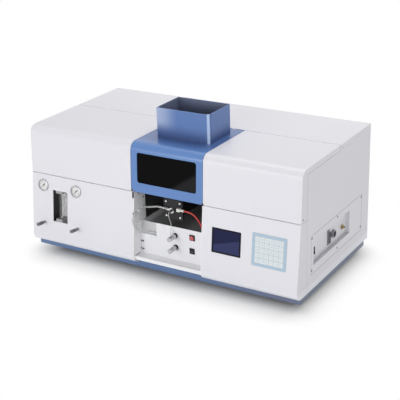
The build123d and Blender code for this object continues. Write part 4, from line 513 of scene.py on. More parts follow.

# Hood: painted shade, a touch deeper near the chimney's foot
SHADE_TO_FLUE = (-0.085, -0.01)
HOOD_TOP_FROM = FLUE_FOOT - 0.002
painted_shade_near_flue = blue_paint.both(
    blue_paint.fade(blue_paint.along(BACK, FLUE_LOW), *SHADE_TO_FLUE, strength=0.8),
    blue_paint.beyond(blue_paint.along(HIGH), HOOD_TOP_FROM))
blue_paint.zone(painted_shade_near_flue, (0.045, 0.11, 0.31))

# Window: smoked, one corner painted paler for the light of the lit bay that shows through
smoked = polished("smoked_window", (0.003, 0.003, 0.0033), 0.06, vary=0.1, Specular_IOR_Level=0.04)
PALE_CORNER = Vector((0.048, 0, 0.312))
PALE_WAY = Vector((0.56, 0, -0.83))
PALE_EDGE = (-0.003, 0.012)
painted_light_through = smoked.fade(smoked.along(PALE_WAY, PALE_CORNER), *PALE_EDGE)
smoked.zone(painted_light_through, (0.018, 0.018, 0.020))

# Needle valves: brass behind the panel, bright outside it
VALVE_HEIGHT = 108
PANEL_SKIN = 0.001
valve_metal = metal("valve_metal", (0.62, 0.45, 0.17), 0.25, vary=0.1, grain=700.0, bump=0.1)
outside = valve_metal.beyond(valve_metal.along(OUT, front(0, VALVE_HEIGHT)), -PANEL_SKIN)
valve_metal.zone(outside, (0.72, 0.72, 0.74), 0.15)

# Flow meter: black left wall, pale back and blocks, greyer near the front
FLOW_X = -391
FLOW_HEIGHT = 173
BLACK_WALL_TO = -0.4222
BLOCKS = (-0.4219, -0.3605)
BLACK_WALL_PALES = (-0.028, -0.043)  # in front of the panel's face, so below 0 behind it
NEAR_FRONT = -0.036
flow_box = Finish("flow_box", (0.80, 0.80, 0.81), 0.4, vary=0.15, cloud=90.0, grain=500.0,
                  bump=0.15, stretch=(3, 1, 0.05))
flow_across = flow_box.along(RIGHT)
flow_depth = flow_box.along(OUT, front(0, FLOW_HEIGHT))
black_wall = flow_box.within(flow_across, -FAR, BLACK_WALL_TO)
flow_box.zone(black_wall, (0.01, 0.01, 0.01), 0.6)
deep_wall = flow_box.both(black_wall, flow_box.fade(flow_depth, *BLACK_WALL_PALES))
flow_box.zone(deep_wall, (0.13, 0.13, 0.13))
near_front = flow_box.both(flow_box.beyond(flow_depth, NEAR_FRONT),
                           flow_box.within(flow_across, *BLOCKS))
flow_box.zone(near_front, (0.34, 0.34, 0.345))

# Screen: a dark frame round a navy field, with painted glare that makes it paler towards its foot
SCREEN_X = (0.2145, 0.3055)
SCREEN_HALF_TALL = 0.0355
SCREEN_MIDDLE = front(0, 176)
GLARE_WAY = (-0.277, 0, 1)
GLARE_PLACE = (0.2668, 0, 0.1755)
GLARE_EDGE = (0.003, -0.003)
screen_glass = Finish("screen_glass", (0.006, 0.006, 0.018), 0.15, vary=0.1, grain=600.0,
                      bump=0.02, Specular_IOR_Level=0.16)
field = screen_glass.both(
    screen_glass.within(screen_glass.along(RIGHT), *SCREEN_X),
    screen_glass.within(screen_glass.along(UP, SCREEN_MIDDLE), -SCREEN_HALF_TALL, SCREEN_HALF_TALL))
glare = screen_glass.fade(screen_glass.along(GLARE_WAY, GLARE_PLACE), *GLARE_EDGE)
screen_glass.zone(field, (0.010, 0.013, 0.055))
screen_glass.zone(screen_glass.both(field, glare), (0.030, 0.036, 0.110))

# Keypad: pale keys on a grey-blue overlay, told apart by their height above the panel
KEYPAD_X = 409.7
KEYPAD_HEIGHT = 175
KEYPAD_MIDDLE = front(KEYPAD_X, KEYPAD_HEIGHT)
KEY_FIELD = Vector((0.0489, 0.043))  # half of its width and of its height
KEY_FACE = 0.0010
keypad_print = Finish("keypad_print", (0.41, 0.525, 0.64), 0.4, vary=0.05, grain=1200.0, bump=0.08)
key_field = keypad_print.both(
    keypad_print.within(keypad_print.along(RIGHT, KEYPAD_MIDDLE), -KEY_FIELD.x, KEY_FIELD.x),
    keypad_print.within(keypad_print.along(UP, KEYPAD_MIDDLE), -KEY_FIELD.y, KEY_FIELD.y))
keypad_print.zone(key_field, (0.56, 0.63, 0.67))
key_top = keypad_print.beyond(keypad_print.along(OUT, KEYPAD_MIDDLE), KEY_FACE)
keypad_print.zone(key_top, (0.70, 0.75, 0.775))

# Sockets: black inlet, bright shell, dark round plug
SHELL_LOW, SHELL_HIGH = (0.4955, -0.062, 0.1), (0.6, 0.05, 0.2)
socket_print = Finish("socket_plastic", (0.025, 0.025, 0.027), 0.4, vary=0.15, grain=1200.0,
                      bump=0.15)
socket_print.zone(socket_print.inside(SHELL_LOW, SHELL_HIGH), (0.30, 0.30, 0.31), 0.3, 0.9)

# Transformer: laminated core with a taped winding through it
CORE_LOW, CORE_HIGH = corners("power_transformer")
CORE_MARGIN = 0.0182
core_iron = Finish("laminated_core", (0.12, 0.10, 0.09), 0.5, metallic=0.4, vary=0.2, grain=500.0,
                   bump=0.4, stretch=(0.05, 6, 0.05))
across_core = core_iron.along(BACK)
winding = worked_out(
    core_iron.tree, "MAXIMUM",
    core_iron.within(across_core, CORE_LOW.y - FAR, CORE_LOW.y + CORE_MARGIN),
    core_iron.within(across_core, CORE_HIGH.y - CORE_MARGIN, CORE_HIGH.y + FAR))
core_iron.zone(winding, (0.55, 0.42, 0.12), 0.35, 0.0)

# Circuit board: green lacquer, black chips
BOARD_LOW, BOARD_HIGH = corners("main_board")
CHIP_TALL = 0.005
LACQUER = 0.0002
chips = board_green.beyond(board_green.along(HIGH), BOARD_HIGH.z - CHIP_TALL + LACQUER)
board_green.zone(chips, (0.02, 0.02, 0.022), 0.5)

# Finish of every solid that stays
FINISHES = {
    white_paint: ["left_front_panel", "right_front_panel", "left_side_panel", "right_side_panel",
                  "rear_panel", "top_panel", "left_lid", "right_lid", "service_plate"],
    bay_paint: ["compartment_pan"],
    box_paint: ["control_box"],
    blue_paint: ["hood"],
    flue_paint: ["chimney"],
    tray_paint: ["base_tray"],
    black_paint: ["compartment_liner"],
    rubber: ["feet"],
    drip_steel: ["drip_tray"],
    turned: ["hinge_pins", "flow_float", "burner_head"],
    knob_steel: ["height_knob", "oxidant_knob"],
    knurled: ["left_valve_knob", "right_valve_knob"],
    nebulizer_metal: ["nebulizer"],
    ring_chrome: ["gauge_cases"],
    screw_steel: ["panel_screws"],
    aluminium: ["burner_rail"],
    black_anodised: ["burner_carriage", "monochromator_case"],
    dark_metal: ["lamp_turret", "detector"],
    casting: ["optical_bench"],
    brass: ["gas_inlet"],
    valve_metal: ["valve_bodies"],
    black_plastic: ["spray_chamber"],
    gloss_black: ["switch_bezels", "rocker", "mains_rocker"],
    red_plastic: ["ignition_button"],
    white_plastic: ["hose_fittings"],
    dial_white: ["gauge_dials"],
    ink: ["left_gauge_needle", "right_gauge_needle"],
    clear_glass: ["lenses", "flowmeter_tube", "hollow_cathode_lamps"],
    mirror: ["monochromator_mirrors", "grating"],
    smoked: ["hood_window"],
    core_iron: ["power_transformer"],
    board_green: ["main_board"],
    flow_box: ["flowmeter_body"],
    screen_glass: ["display_module"],
    keypad_print: ["keypad"],
    socket_print: ["electrical_sockets"],
}
for finish, names in FINISHES.items():
    for name in names:
        cad[name].data.materials.clear()
        cad[name].data.materials.append(finish.mat)


# Shapes
SHARP = math.radians(40)
PRINT_THICK = 0.04
CLEAR = 0.02  # gap between a face and what is laid on it


def piece(name, shape, finish, body, smooth=False):
    """A new piece from a bmesh whose points are in metres, riding on a body."""
    mesh = bpy.data.meshes.new(name)
    bmesh.ops.recalc_face_normals(shape, faces=shape.faces)
    shape.to_mesh(mesh)
    shape.free()
    mesh.materials.append(finish.mat)
    if smooth:
        mesh.shade_smooth()
        mesh.set_sharp_from_angle(angle=SHARP)
    thing = added(name, mesh)
    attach(thing, body)


def stacked(shape, rings, matrix, cap=True):
    """Adds the surface through rings of (x, y, z), in mm, with a cap on both ends or on none."""
    rings = [[shape.verts.new(matrix @ (Vector(p) * MM)) for p in ring] for ring in rings]
    for low, high in zip(rings, rings[1:]):
        for i in range(len(low)):
            j = (i + 1) % len(low)
            shape.faces.new((low[i], low[j], high[j], high[i]))
    if cap:
        shape.faces.new(list(reversed(rings[0])))
        shape.faces.new(rings[-1])


def turned_shape(shape, profile, matrix, steps=24, cap=True):
    """Adds the surface that a profile of (radius, height) makes about a place's z, in mm."""
    angles = [2 * math.pi * i / steps for i in range(steps)]
    rings = [[(r * math.cos(a), r * math.sin(a), height) for a in angles] for r, height in profile]
    stacked(shape, rings, matrix, cap)


def prism(shape, outline, low, high, matrix):
    """Adds a prism over an outline of (x, y), from height low to high, in mm."""
    stacked(shape, [[(x, y, z) for x, y in outline] for z in (low, high)], matrix)


def bar(shape, x, y, width, tall, low, high, matrix, turn=0.0):
    """Adds a flat bar about (x, y), turned in its plane."""
    c, s = math.cos(turn), math.sin(turn)
    w, t = width / 2, tall / 2
    square = [(-w, -t), (w, -t), (w, t), (-w, t)]
    prism(shape, [(x + c * u - s * v, y + s * u + c * v) for u, v in square], low, high, matrix)


def mesh_of(thing):
    """The mesh that Blender makes of a curve or text as it stands."""
    bpy.context.view_layer.update()
    graph = bpy.context.evaluated_depsgraph_get()
    return bpy.data.meshes.new_from_object(thing.evaluated_get(graph))


def words(name, entries, finish, body, matrix, lift):
    """Raised print as one piece: entries of (text, x, y, size) in mm, in a place's plane."""
    shape = bmesh.new()
    for text, x, y, size in entries:
        curve = bpy.data.curves.new("print", "FONT")
        curve.body = text
        curve.size = size * MM
        curve.align_x = "CENTER"
        curve.align_y = "CENTER"
        curve.extrude = PRINT_THICK * MM / 2
        curve.resolution_u = 2
        thing = added("print", curve)
        mesh = mesh_of(thing)
        mesh.transform(matrix @ Matrix.Translation(Vector((x, y, lift + PRINT_THICK / 2)) * MM))
        shape.from_mesh(mesh)
        bpy.data.objects.remove(thing)
        bpy.data.curves.remove(curve)
        bpy.data.meshes.remove(mesh)
    piece(name, shape, finish, body)


# Gauges: printed marks and numbers, and a domed glass in each bezel
GAUGES = (("left", -462), ("right", -323))
GAUGE_HEIGHT = 239
DIAL_TOP = -0.7
DIAL_ZERO = math.radians(225)
DIAL_SWEEP = math.radians(270)
MARK_RING = 17
MARK_COUNT = 50
MARK_GROUP = 10
MARK_LENGTHS = (3.2, 2.2, 1.5)
WIDE_MARK, FINE_MARK = 0.5, 0.28
MARK_PRINT, ARC_PRINT = 0.06, 0.05
ARC_STEPS = 64
ARC_WIDE = 0.25
ARC_OVERLAP = 1.1
NUMBER_RING = 11.2
NUMBER_SIZE = 3.4
LAST_NUMBER = 5
GLASS_PROFILE = [(18.3, 2.9), (18.3, 3.5), (12, 3.85), (5, 4.0), (0.2, 4.05)]


def mark_length(i, lengths, group):
    """Length of a scale's mark: long where a group starts, half in its middle, else short."""
    long, half, short = lengths
    return long if i % group == 0 else half if i % (group // 2) == 0 else short


def round_bar(shape, radius, angle, length, width, low, high, spot):
    """Adds a bar that lies along a radius of a dial."""
    x, y = radius * math.cos(angle), radius * math.sin(angle)
    bar(shape, x, y, length, width, low, high, spot, angle)


def gauge_print(side, spot):
    marks = bmesh.new()
    for i in range(MARK_COUNT + 1):
        angle = DIAL_ZERO - i * DIAL_SWEEP / MARK_COUNT
        length = mark_length(i, MARK_LENGTHS, MARK_GROUP)
        width = WIDE_MARK if i % MARK_GROUP == 0 else FINE_MARK
        round_bar(marks, MARK_RING - length / 2, angle, length, width,
                  DIAL_TOP, DIAL_TOP + MARK_PRINT, spot)
    arc_long = MARK_RING * DIAL_SWEEP / ARC_STEPS * ARC_OVERLAP
    for i in range(ARC_STEPS):
        angle = DIAL_ZERO - (i + 0.5) * DIAL_SWEEP / ARC_STEPS
        round_bar(marks, MARK_RING, angle, ARC_WIDE, arc_long, DIAL_TOP, DIAL_TOP + ARC_PRINT, spot)
    piece(side + "_gauge_marks", marks, ink, "cabinet")
    numbers = []
    for i in range(LAST_NUMBER + 1):
        angle = DIAL_ZERO - i * DIAL_SWEEP / LAST_NUMBER
        x, y = NUMBER_RING * math.cos(angle), NUMBER_RING * math.sin(angle)
        numbers.append((str(i), x, y, NUMBER_SIZE))
    words(side + "_gauge_numbers", numbers, ink, "cabinet", spot, DIAL_TOP)


for side, x in GAUGES:
    spot = front_place(x, GAUGE_HEIGHT)
    gauge_print(side, spot)
    glass = bmesh.new()
    turned_shape(glass, GLASS_PROFILE, spot, steps=48)
    piece(side + "_gauge_glass", glass, thin_glass, "cabinet", smooth=True)

# Flow meter: printed scale behind the tube
SCALE_X = 12
SCALE_WIDTH = 14
SCALE_TALL = 84
SCALE_BACK = -43.4
SCALE_FACE = -42.6
SCALE_MARGIN = 4
SCALE_INSET = 0.6
SCALE_STEPS = 32
SCALE_GROUP = 8
SCALE_LENGTHS = (SCALE_WIDTH / 2, SCALE_WIDTH / 3, SCALE_WIDTH / 5)
SCALE_PRINT = 0.1
flow_spot = front_place(FLOW_X, FLOW_HEIGHT)
scale = bmesh.new()
bar(scale, SCALE_X, 0, SCALE_WIDTH, SCALE_TALL, SCALE_BACK, SCALE_FACE, flow_spot)
piece("flow_scale", scale, dial_white, "cabinet")
marks = bmesh.new()
scale_left = SCALE_X - SCALE_WIDTH / 2 + SCALE_INSET
for i in range(SCALE_STEPS + 1):
    length = mark_length(i, SCALE_LENGTHS, SCALE_GROUP)
    y = (i / SCALE_STEPS - 0.5) * (SCALE_TALL - 2 * SCALE_MARGIN)
    bar(marks, scale_left + length / 2, y, length, WIDE_MARK,
        SCALE_FACE, SCALE_FACE + SCALE_PRINT, flow_spot)
piece("flow_scale_marks", marks, ink, "cabinet")

# Keypad: numbers and signs on the keys
KEY_PITCH_X = 16.3
KEY_PITCH_Y = 17.2
KEY_TOP = 1.4
LETTER = 6.2
WORD = 4.2
KEYS = [
    ["F1", "F2", "F3", "F4", "F5", "F6"],
    ["7", "8", "9", "A", "B", "C"],
    ["4", "5", "6", "D", "E", "+"],
    ["1", "2", "3", "<", ">", "-"],
]
MIDDLE_COLUMN = 2.5
MIDDLE_ROW = 2
LOWEST_KEYS = (("0", -2.5), ("ENTER", -1), (".", 0.5), ("START", 2))  # columns from the middle
legend = []
for row, line in enumerate(KEYS):
    for column, text in enumerate(line):
        x, y = (column - MIDDLE_COLUMN) * KEY_PITCH_X, (MIDDLE_ROW - row) * KEY_PITCH_Y
        legend.append((text, x, y, LETTER))
for text, column in LOWEST_KEYS:
    size = WORD if len(text) > 1 else LETTER
    legend.append((text, column * KEY_PITCH_X, (MIDDLE_ROW - len(KEYS)) * KEY_PITCH_Y, size))
keypad_spot = front_place(KEYPAD_X, KEYPAD_HEIGHT)
words("key_legend", legend, key_ink, "cabinet", keypad_spot, KEY_TOP)

# End plate of the spray chamber: four bright screws with hexagon sockets
BURNER_X = 42
PLATE_FRONT = 247
CHAMBER_Z = 230
SCREW_X = 26
SCREW_Z = 24.5
CAP_SCREW = [(3.4, 0), (3.4, 1.7), (2.9, 2.2), (1.5, 2.2), (1.5, 0.8), (0.1, 0.6)]
screws = bmesh.new()
for x in (-SCREW_X, SCREW_X):
    for z in (-SCREW_Z, SCREW_Z):
        turned_shape(screws, CAP_SCREW, facing_front(BURNER_X + x, PLATE_FRONT, CHAMBER_Z + z))
piece("chamber_screws", screws, chrome, "burner", smooth=True)

# Control knobs: printed ring of marks round each, on the box
KNOB_X = 50
KNOB_HEIGHTS = (142, 101)
RING_RADIUS = 13.5
RING_STEP = math.radians(13.5)
RING_COUNT = 21
RING_GROUP = 5
RING_LONG, RING_SHORT = 2.6, 1.5
RING_PRINT = 0.12
ring_marks = bmesh.new()
for z in KNOB_HEIGHTS:
    spot = facing_front(KNOB_X, BOX_FRONT, z)
    for i in range(RING_COUNT):
        length = RING_LONG if i % RING_GROUP == 0 else RING_SHORT
        round_bar(ring_marks, RING_RADIUS, DIAL_ZERO - i * RING_STEP, length, WIDE_MARK,
                  CLEAR, RING_PRINT, spot)
piece("knob_marks", ring_marks, grey_ink, "cabinet")

# Bay: two dark screws in the left cheek and the dark joint along its foot
CHEEK_INNER = -86.5
CHEEK_SCREWS = ((253.5, 97.6), (256, 70.9))
PAN_SCREW = [(2.3, 0), (2.3, 0.7), (1.4, 1.3), (0.1, 1.4)]
CHEEK_JOINT = (277, 57.5)
JOINT_LONG, JOINT_TALL, JOINT_RISE = 30, 1.6, 0.5
screws = bmesh.new()
for depth, z in CHEEK_SCREWS:
    turned_shape(screws, PAN_SCREW, facing_right(CHEEK_INNER, depth, z), steps=20)
piece("cheek_screws", screws, gloss_black, "cabinet", smooth=True)
joint = bmesh.new()
bar(joint, 0, 0, JOINT_LONG, JOINT_TALL, CLEAR, JOINT_RISE, facing_right(CHEEK_INNER, *CHEEK_JOINT))
piece("cheek_joint", joint, gloss_black, "cabinet")

# Left front panel: black rubber stop and a notch on its edge beside the bay
PANEL_STOPS = (  # x, height, width, length, thickness
    (-90.8, 266.8, 6.5, 20.5, 0.4),
    (-89.6, 205, 3, 9, 0.3),
)
stops = bmesh.new()
for x, z, width, tall, thick in PANEL_STOPS:
    bar(stops, 0, 0, width, tall, CLEAR, thick, front_place(x, z))
piece("panel_stops", stops, gloss_black, "cabinet")

# Dark catch at the hood's lower corner
CATCH = [(-3, -4), (3, -4), (3, 3), (-3, 4)]
CATCH_LOW, CATCH_HIGH = 0.1, 2.4
CATCH_PLACE = (171.5, 282.5, -1.5)
catch = bmesh.new()
prism(catch, CATCH, CATCH_LOW, CATCH_HIGH, front_place(*CATCH_PLACE))
piece("hood_catch", catch, gloss_black, "hood_cover")


# Cross recesses in every panel screw, on the side that its head faces
def islands(mesh):
    """Corners of the box round each separate piece of a mesh, in metres."""
    shape = bmesh.new()
    shape.from_mesh(mesh)
    left = dict.fromkeys(shape.verts)
    boxes = []
    while left:
        queue = [left.popitem()[0]]
        low, high = queue[0].co.copy(), queue[0].co.copy()
        while queue:
            vert = queue.pop()
            low = Vector(map(min, low, vert.co))
            high = Vector(map(max, high, vert.co))
            for edge in vert.link_edges:
                other = edge.other_vert(vert)
                if other in left:
                    del left[other]
                    queue.append(other)
        boxes.append((low, high))
    shape.free()
    return boxes


CROSS = 4.2
CROSS_WIDE = 0.8
CROSS_DEEP = 0.3
CROSS_TURN = 0.4
NEAR_RIGHT = X_RIGHT * MM - 0.02
NEAR_BACK = Y_BACK * MM - 0.03
crosses = bmesh.new()
for low, high in islands(cad["panel_screws"].data):
    middle = (low + high) / 2
    if middle.x > NEAR_RIGHT:
        spot = place(Vector((high.x, middle.y, middle.z)), BACK, HIGH)
    elif middle.y > NEAR_BACK:
        spot = place(Vector((middle.x, high.y, middle.z)), -RIGHT, HIGH)
    else:
        spot = place(Vector((middle.x, low.y, middle.z)), RIGHT, HIGH)
    for turn in (CROSS_TURN, CROSS_TURN + math.pi / 2):
        bar(crosses, 0, 0, CROSS, CROSS_WIDE, -CROSS_DEEP, 0.0, spot, turn)
piece("screw_crosses", crosses, ink, "cabinet")

# Lamps: ring anode, hollow cathode, insulating disc, stem and pins inside each envelope
TURRET_FRONT = 56
BEAM_HEIGHT = 312
LAMP_CIRCLE = 55
LAMP_LEFT = -440
CATHODE = [(2, 0), (4.2, 1), (4.2, 22), (3.2, 22), (3.2, 10), (0.1, 10)]
ANODE = [(7.2, 0), (7.8, 0), (7.8, 2), (7.2, 2)]
ANODE_WIRE = [(0.6, 0), (0.6, 88)]
DISC = [(14.5, 0), (14.5, 1), (4.5, 1), (4.5, 0)]
STEM = [(11, 0), (11, 20), (7, 34), (2, 38), (1.6, 85), (0.1, 85)]
PIN = [(1.1, 0), (1.1, 9), (0.3, 10)]
BAND = [(18.55, 0), (18.75, 0.2), (18.75, 16), (18.55, 16.2)]
PIN_FROM, STEM_FROM, WIRE_FROM, BAND_FROM = -24, 3, 35, 60  # to the right of a lamp's left end
CATHODE_FROM, DISC_FROM, ANODE_FROM = 88, 100, 122
WIRE_ASIDE = 7.5
PIN_COUNT = 8
PIN_CIRCLE = 9


def lamp_axes():
    """Centre lines of the lamps round the turret, the first one in the beam."""
    for quarter in range(4):
        a = quarter * math.pi / 2
        yield TURRET_FRONT + LAMP_CIRCLE * math.cos(a), BEAM_HEIGHT + LAMP_CIRCLE * math.sin(a)


def in_lamp(start, depth, z):
    return facing_right(LAMP_LEFT + start, depth, z)


metal_parts, insulators, bands = bmesh.new(), bmesh.new(), bmesh.new()
for depth, z in lamp_axes():
    turned_shape(metal_parts, CATHODE, in_lamp(CATHODE_FROM, depth, z))
    turned_shape(metal_parts, ANODE, in_lamp(ANODE_FROM, depth, z), cap=False)
    turned_shape(metal_parts, ANODE_WIRE, in_lamp(WIRE_FROM, depth - WIRE_ASIDE, z), steps=8)
    for i in range(PIN_COUNT):
        a = 2 * math.pi * i / PIN_COUNT
        pin_depth, pin_z = depth + PIN_CIRCLE * math.cos(a), z + PIN_CIRCLE * math.sin(a)
        turned_shape(metal_parts, PIN, in_lamp(PIN_FROM, pin_depth, pin_z), steps=8)
    turned_shape(insulators, STEM, in_lamp(STEM_FROM, depth, z))
    turned_shape(insulators, DISC, in_lamp(DISC_FROM, depth, z), cap=False)
    turned_shape(bands, BAND, in_lamp(BAND_FROM, depth, z), steps=48, cap=False)
piece("lamp_electrodes", metal_parts, turned, "turret", smooth=True)
piece("lamp_insulators", insulators, ceramic, "turret", smooth=True)
piece("lamp_bands", bands, dial_white, "turret", smooth=True)

# Circuit board: capacitors, chip legs, resistors and plugs
BOARD_TOP = (BOARD_HIGH.z - CHIP_TALL) / MM
BOARD_MIDDLE_X = (BOARD_LOW.x + BOARD_HIGH.x) / 2 / MM
BOARD_MIDDLE = Y_HINGE - (BOARD_LOW.y + BOARD_HIGH.y) / 2 / MM  # in front of the hinge line
CAPACITOR = [(6, 0), (6.2, 1), (5.7, 1.8), (6, 2.6), (6, 14), (5, 14.6), (0.1, 14.4)]
CAN_COUNT = 7
CAN_PITCH = 30
CAN_ROW = -85
CHIP_ROW = 3
CHIP_PITCH = 50
CHIP_HALF = 13
CHIP_LEGS = 8
LEG_PITCH = 3
LEG_ASIDE = CHIP_HALF + 1.2
LEG_LONG, LEG_WIDE, LEG_TALL = 2.4, 1, 1.6
RESISTOR = [(0.3, -4.2), (0.3, -3.2), (1.3, -3), (1.1, -2),
            (1.1, 2), (1.3, 3), (0.3, 3.2), (0.3, 4.2)]
RESISTOR_COUNT = 4
RESISTOR_PITCH = 6
RESISTOR_LIFT = 1.4
LYING = Matrix.Rotation(math.pi / 2, 4, "Y")
PLUGS_X = (-75, -25, 60)
PLUG_ROW = 86
PLUG_BASE = (-18, 18, -4, 4)  # from x to x and from y to y
PLUG_WALLS = ((-18, 18, -4, -3), (-18, -3, 3, 4), (3, 18, 3, 4), (-18, -17, -3, 3), (17, 18, -3, 3))
PLUG_FLOOR, PLUG_TOP = 1.5, 9
CONTACT_COUNT = 12
CONTACT_LEFT = -14
CONTACT_PITCH = 2.54
CONTACT_ROW = 1.3
CONTACT_WIDE = 0.6
CONTACT_TOP = 7


def rectangle(x0, x1, y0, y1):
    return [(x0, y0), (x1, y0), (x1, y1), (x0, y1)]


def row_of(count, pitch):
    """Places of a row of things about its middle."""
    return [(i - (count - 1) / 2) * pitch for i in range(count)]


cans, legs, plugs, small = bmesh.new(), bmesh.new(), bmesh.new(), bmesh.new()
for x in row_of(CAN_COUNT, CAN_PITCH):
    spot = facing_up(BOARD_MIDDLE_X + x, BOARD_MIDDLE + CAN_ROW, BOARD_TOP)
    turned_shape(cans, CAPACITOR, spot)
for column in row_of(CHIP_ROW, CHIP_PITCH):
    for row in row_of(CHIP_ROW, CHIP_PITCH):
        x, depth = BOARD_MIDDLE_X + column, BOARD_MIDDLE + row
        spot = facing_up(x, depth, BOARD_TOP)
        for y in row_of(CHIP_LEGS, LEG_PITCH):
            for side in (-1, 1):
                bar(legs, side * LEG_ASIDE, y, LEG_LONG, LEG_WIDE, CLEAR, LEG_TALL, spot)
        between_chips = RESISTOR_COUNT if column <= 0 else 0
        for aside in row_of(between_chips, RESISTOR_PITCH):
            at = facing_up(x + CHIP_PITCH / 2, depth + aside, BOARD_TOP + RESISTOR_LIFT)
            turned_shape(small, RESISTOR, at @ LYING, steps=10)
for x in PLUGS_X:
    spot = facing_up(BOARD_MIDDLE_X + x, BOARD_MIDDLE + PLUG_ROW, BOARD_TOP)
    prism(plugs, rectangle(*PLUG_BASE), CLEAR, PLUG_FLOOR, spot)
    for wall in PLUG_WALLS:
        prism(plugs, rectangle(*wall), PLUG_FLOOR, PLUG_TOP, spot)
    for i in range(CONTACT_COUNT):
        for y in (-CONTACT_ROW, CONTACT_ROW):
            bar(legs, CONTACT_LEFT + i * CONTACT_PITCH, y, CONTACT_WIDE, CONTACT_WIDE,
                PLUG_FLOOR, CONTACT_TOP, spot)
piece("board_capacitors", cans, black_plastic, "cabinet", smooth=True)
piece("board_legs", legs, turned, "cabinet")
piece("board_plugs", plugs, grey_plastic, "cabinet")
piece("board_resistors", small, ceramic, "cabinet", smooth=True)

# Hoses: a route's points are its spline's control points
HOSE = 6
CAPILLARY = 2.2
gas_route = [ahead(*p) for p in (
    (-98, 228.5, 209), (-77, 228.5, 209), (-51, 231, 216), (-23, 243, 227), (4, 254, 233),
    (27, 254, 230))]
fuel_route = [ahead(*p) for p in (
    (86, 252, 234), (104, 252, 234), (124, 250, 226), (139, 247.5, 206), (150, 245.5, 184),
    (150, 245.5, 163))]
drain_route = [ahead(*p) for p in (
    (-82.5, 268, 207), (-82.5, 286, 207), (-82, 301, 194), (-80, 302, 176), (-76, 289, 156),
    (-66, 270, 141), (-43, 247, 132), (-24, 247, 132))]
capillary_route = [ahead(*p) for p in (
    (42, 266, 230), (42, 276, 230), (46, 281, 219), (47, 278, 206), (46, 271, 193),
    (44.5, 266, 178), (40, 264, 164), (37.5, 263, 148), (37, 262, 133))]


def route(name, points, diameter=0):
    """A smooth spline with its route's points as control points, a bare line if it is 0 thick."""
    curve = bpy.data.curves.new(name, "CURVE")
    curve.dimensions = "3D"
    spline = curve.splines.new("NURBS")
    spline.points.add(len(points) - 1)
    for point, spot in zip(spline.points, points):
        point.co = (*spot, 1.0)
    spline.order_u = 3
    spline.use_endpoint_u = True
    spline.resolution_u = 12
    if diameter:
        curve.bevel_depth = diameter / 2 * MM
        curve.bevel_resolution = 5
        curve.use_fill_caps = True
    return added(name, curve)


def length_of(points):
    return sum((b - a).length for a, b in zip(points, points[1:]))


def spline_points(name, points):
    """The smooth line itself, as Blender gives it for a curve with no bevel."""
    line = route(name + "_line", points)
    mesh = mesh_of(line)
    found = [v.co.copy() for v in mesh.vertices]
    bpy.data.meshes.remove(mesh)
    bpy.data.objects.remove(line)
    return found


def bending_hose(name, points, diameter, finish):
    """A hose between two bodies: a tube along the spline, as a mesh."""
    line = spline_points(name, points)
    tube = route(name + "_tube", points, diameter)
    mesh = mesh_of(tube)
    bpy.data.objects.remove(tube)
    mesh.materials.append(finish.mat)
    mesh.shade_smooth()
    thing = added(name + "_run", mesh)
    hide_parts(name)
    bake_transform(thing)


def riding_hose(name, points, diameter, finish, body):
    """A hose that stays with one body, as the curve itself."""
    thing = route(name + "_run", points, diameter)
    thing.data.materials.append(finish.mat)
    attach(thing, body)
    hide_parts(name)
    length_of(spline_points(name, points))


bending_hose("gas_hose", gas_route, HOSE, clear_hose)
bending_hose("fuel_hose", fuel_route, HOSE, red_hose)
riding_hose("drain_hose", drain_route, HOSE, clear_hose, "cabinet")
riding_hose("capillary", capillary_route, CAPILLARY, clear_hose, "burner")

# Floor, world and lamps, in metres
WHITE = (1.0, 1.0, 1.0, 1.0)
FLOOR_RADIUS = 14.0
FLOOR_TONE = 0.86
# Painted shadow: the floor's colour is darker beside the tray
PAINTED_SHADOW_TONE = 0.53  # beside the tray, where least light comes in
PAINTED_SHADOW_FADE = 0.065
FLOOR_GLOW = 0.02
SHADE_MIDDLE = (0.03, -0.02, 0)
SHADE_HALF = (0.43, 0.20, 1)
SHADE_FADE = 0.16
WORLD_LIGHT = 0.36
TRAY_LOW, TRAY_HIGH = corners("base_tray")
LAMPS = (  # name, place, target, size, power in watts
    ("front", (-0.4, -3.5, 0.95), (0, 0, 0.25), (2.8, 1.0), 60),
    ("side", (3.2, -0.6, 1.1), (0, 0, 0.25), (2.0, 1.0), 17),
    ("top", (0.1, 0.75, 2.6), (0, 0, 0.3), (2.4, 1.4), 33),
)


def seen_directly(tree):
    """1 for rays that show what lies behind: from the camera, in gloss and through glass."""
    path = tree.nodes.new("ShaderNodeLightPath")
    total = path.outputs["Is Camera Ray"]
    for name in ("Is Glossy Ray", "Is Transmission Ray"):
        total = worked_out(tree, "MAXIMUM", total, path.outputs[name])
    return total


def white_glow(tree, strength):
    inputs = {"Color": WHITE, "Strength": strength}
    return new_node(tree, "ShaderNodeEmission", inputs).outputs[0]


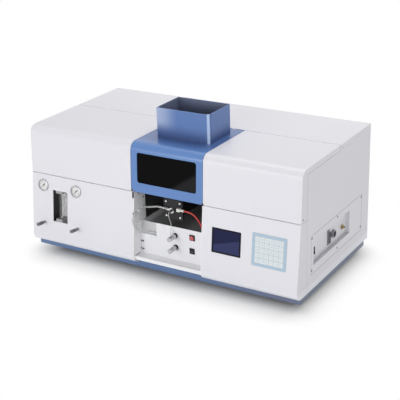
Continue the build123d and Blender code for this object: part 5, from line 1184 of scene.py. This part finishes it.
def floor_material():
    """Pale matt floor with a painted shadow beside the tray, that turns plain white away from the
    object.
    """
    mat = bpy.data.materials.new("pale_floor")
    mat.use_nodes = True
    tree = mat.node_tree
    tree.nodes.clear()
    direct = seen_directly(tree)
    spot = tree.nodes.new("ShaderNodeTexCoord").outputs["Object"]
    tray_half = (TRAY_HIGH - TRAY_LOW) / 2 + HIGH
    from_tray = box_distance(tree, spot, (TRAY_LOW + TRAY_HIGH) / 2, tray_half)
    from_shade = box_distance(tree, spot, SHADE_MIDDLE, SHADE_HALF)
    painted_shadow_tone = soft_step(tree, from_tray, 0, PAINTED_SHADOW_FADE, PAINTED_SHADOW_TONE, FLOOR_TONE)
    lit = new_node(tree, "ShaderNodeBsdfDiffuse", {"Color": painted_shadow_tone})
    glow = white_glow(tree, worked_out(tree, "MULTIPLY", direct, FLOOR_GLOW))
    near = new_node(tree, "ShaderNodeAddShader", {0: lit.outputs[0], 1: glow})
    far_off = worked_out(tree, "MULTIPLY", soft_step(tree, from_shade, 0, SHADE_FADE), direct)
    blend = new_node(tree, "ShaderNodeMixShader",
                     {0: far_off, 1: near.outputs[0], 2: white_glow(tree, 1.0)})
    new_node(tree, "ShaderNodeOutputMaterial", {0: blend.outputs[0]})
    return mat


def floor():
    mesh = bpy.data.meshes.new("floor")
    shape = bmesh.new()
    bmesh.ops.create_circle(shape, cap_ends=True, segments=96, radius=FLOOR_RADIUS)
    shape.to_mesh(mesh)
    shape.free()
    mesh.materials.append(floor_material())
    added("floor", mesh)


def world():
    """Dim light from all round that still looks white where it is seen."""
    sky = bpy.data.worlds.new("studio")
    bpy.context.scene.world = sky
    sky.use_nodes = True
    tree = sky.node_tree
    ground = tree.nodes["Background"]
    ground.inputs["Color"].default_value = WHITE
    inputs = {"Value": seen_directly(tree), "To Min": WORLD_LIGHT}
    strength = new_node(tree, "ShaderNodeMapRange", inputs)
    tree.links.new(strength.outputs[0], ground.inputs["Strength"])


def lamp(name, spot, target, size, power):
    """A soft rectangular lamp that looks at a target."""
    light = bpy.data.lights.new(name, "AREA")
    light.shape = "RECTANGLE"
    light.size, light.size_y = size
    light.energy = power
    thing = added(name, light)
    thing.location = spot
    way = Vector(target) - Vector(spot)
    thing.rotation_mode = "QUATERNION"
    thing.rotation_quaternion = way.to_track_quat("-Z", "Y")


floor()
world()
for values in LAMPS:
    lamp(*values)
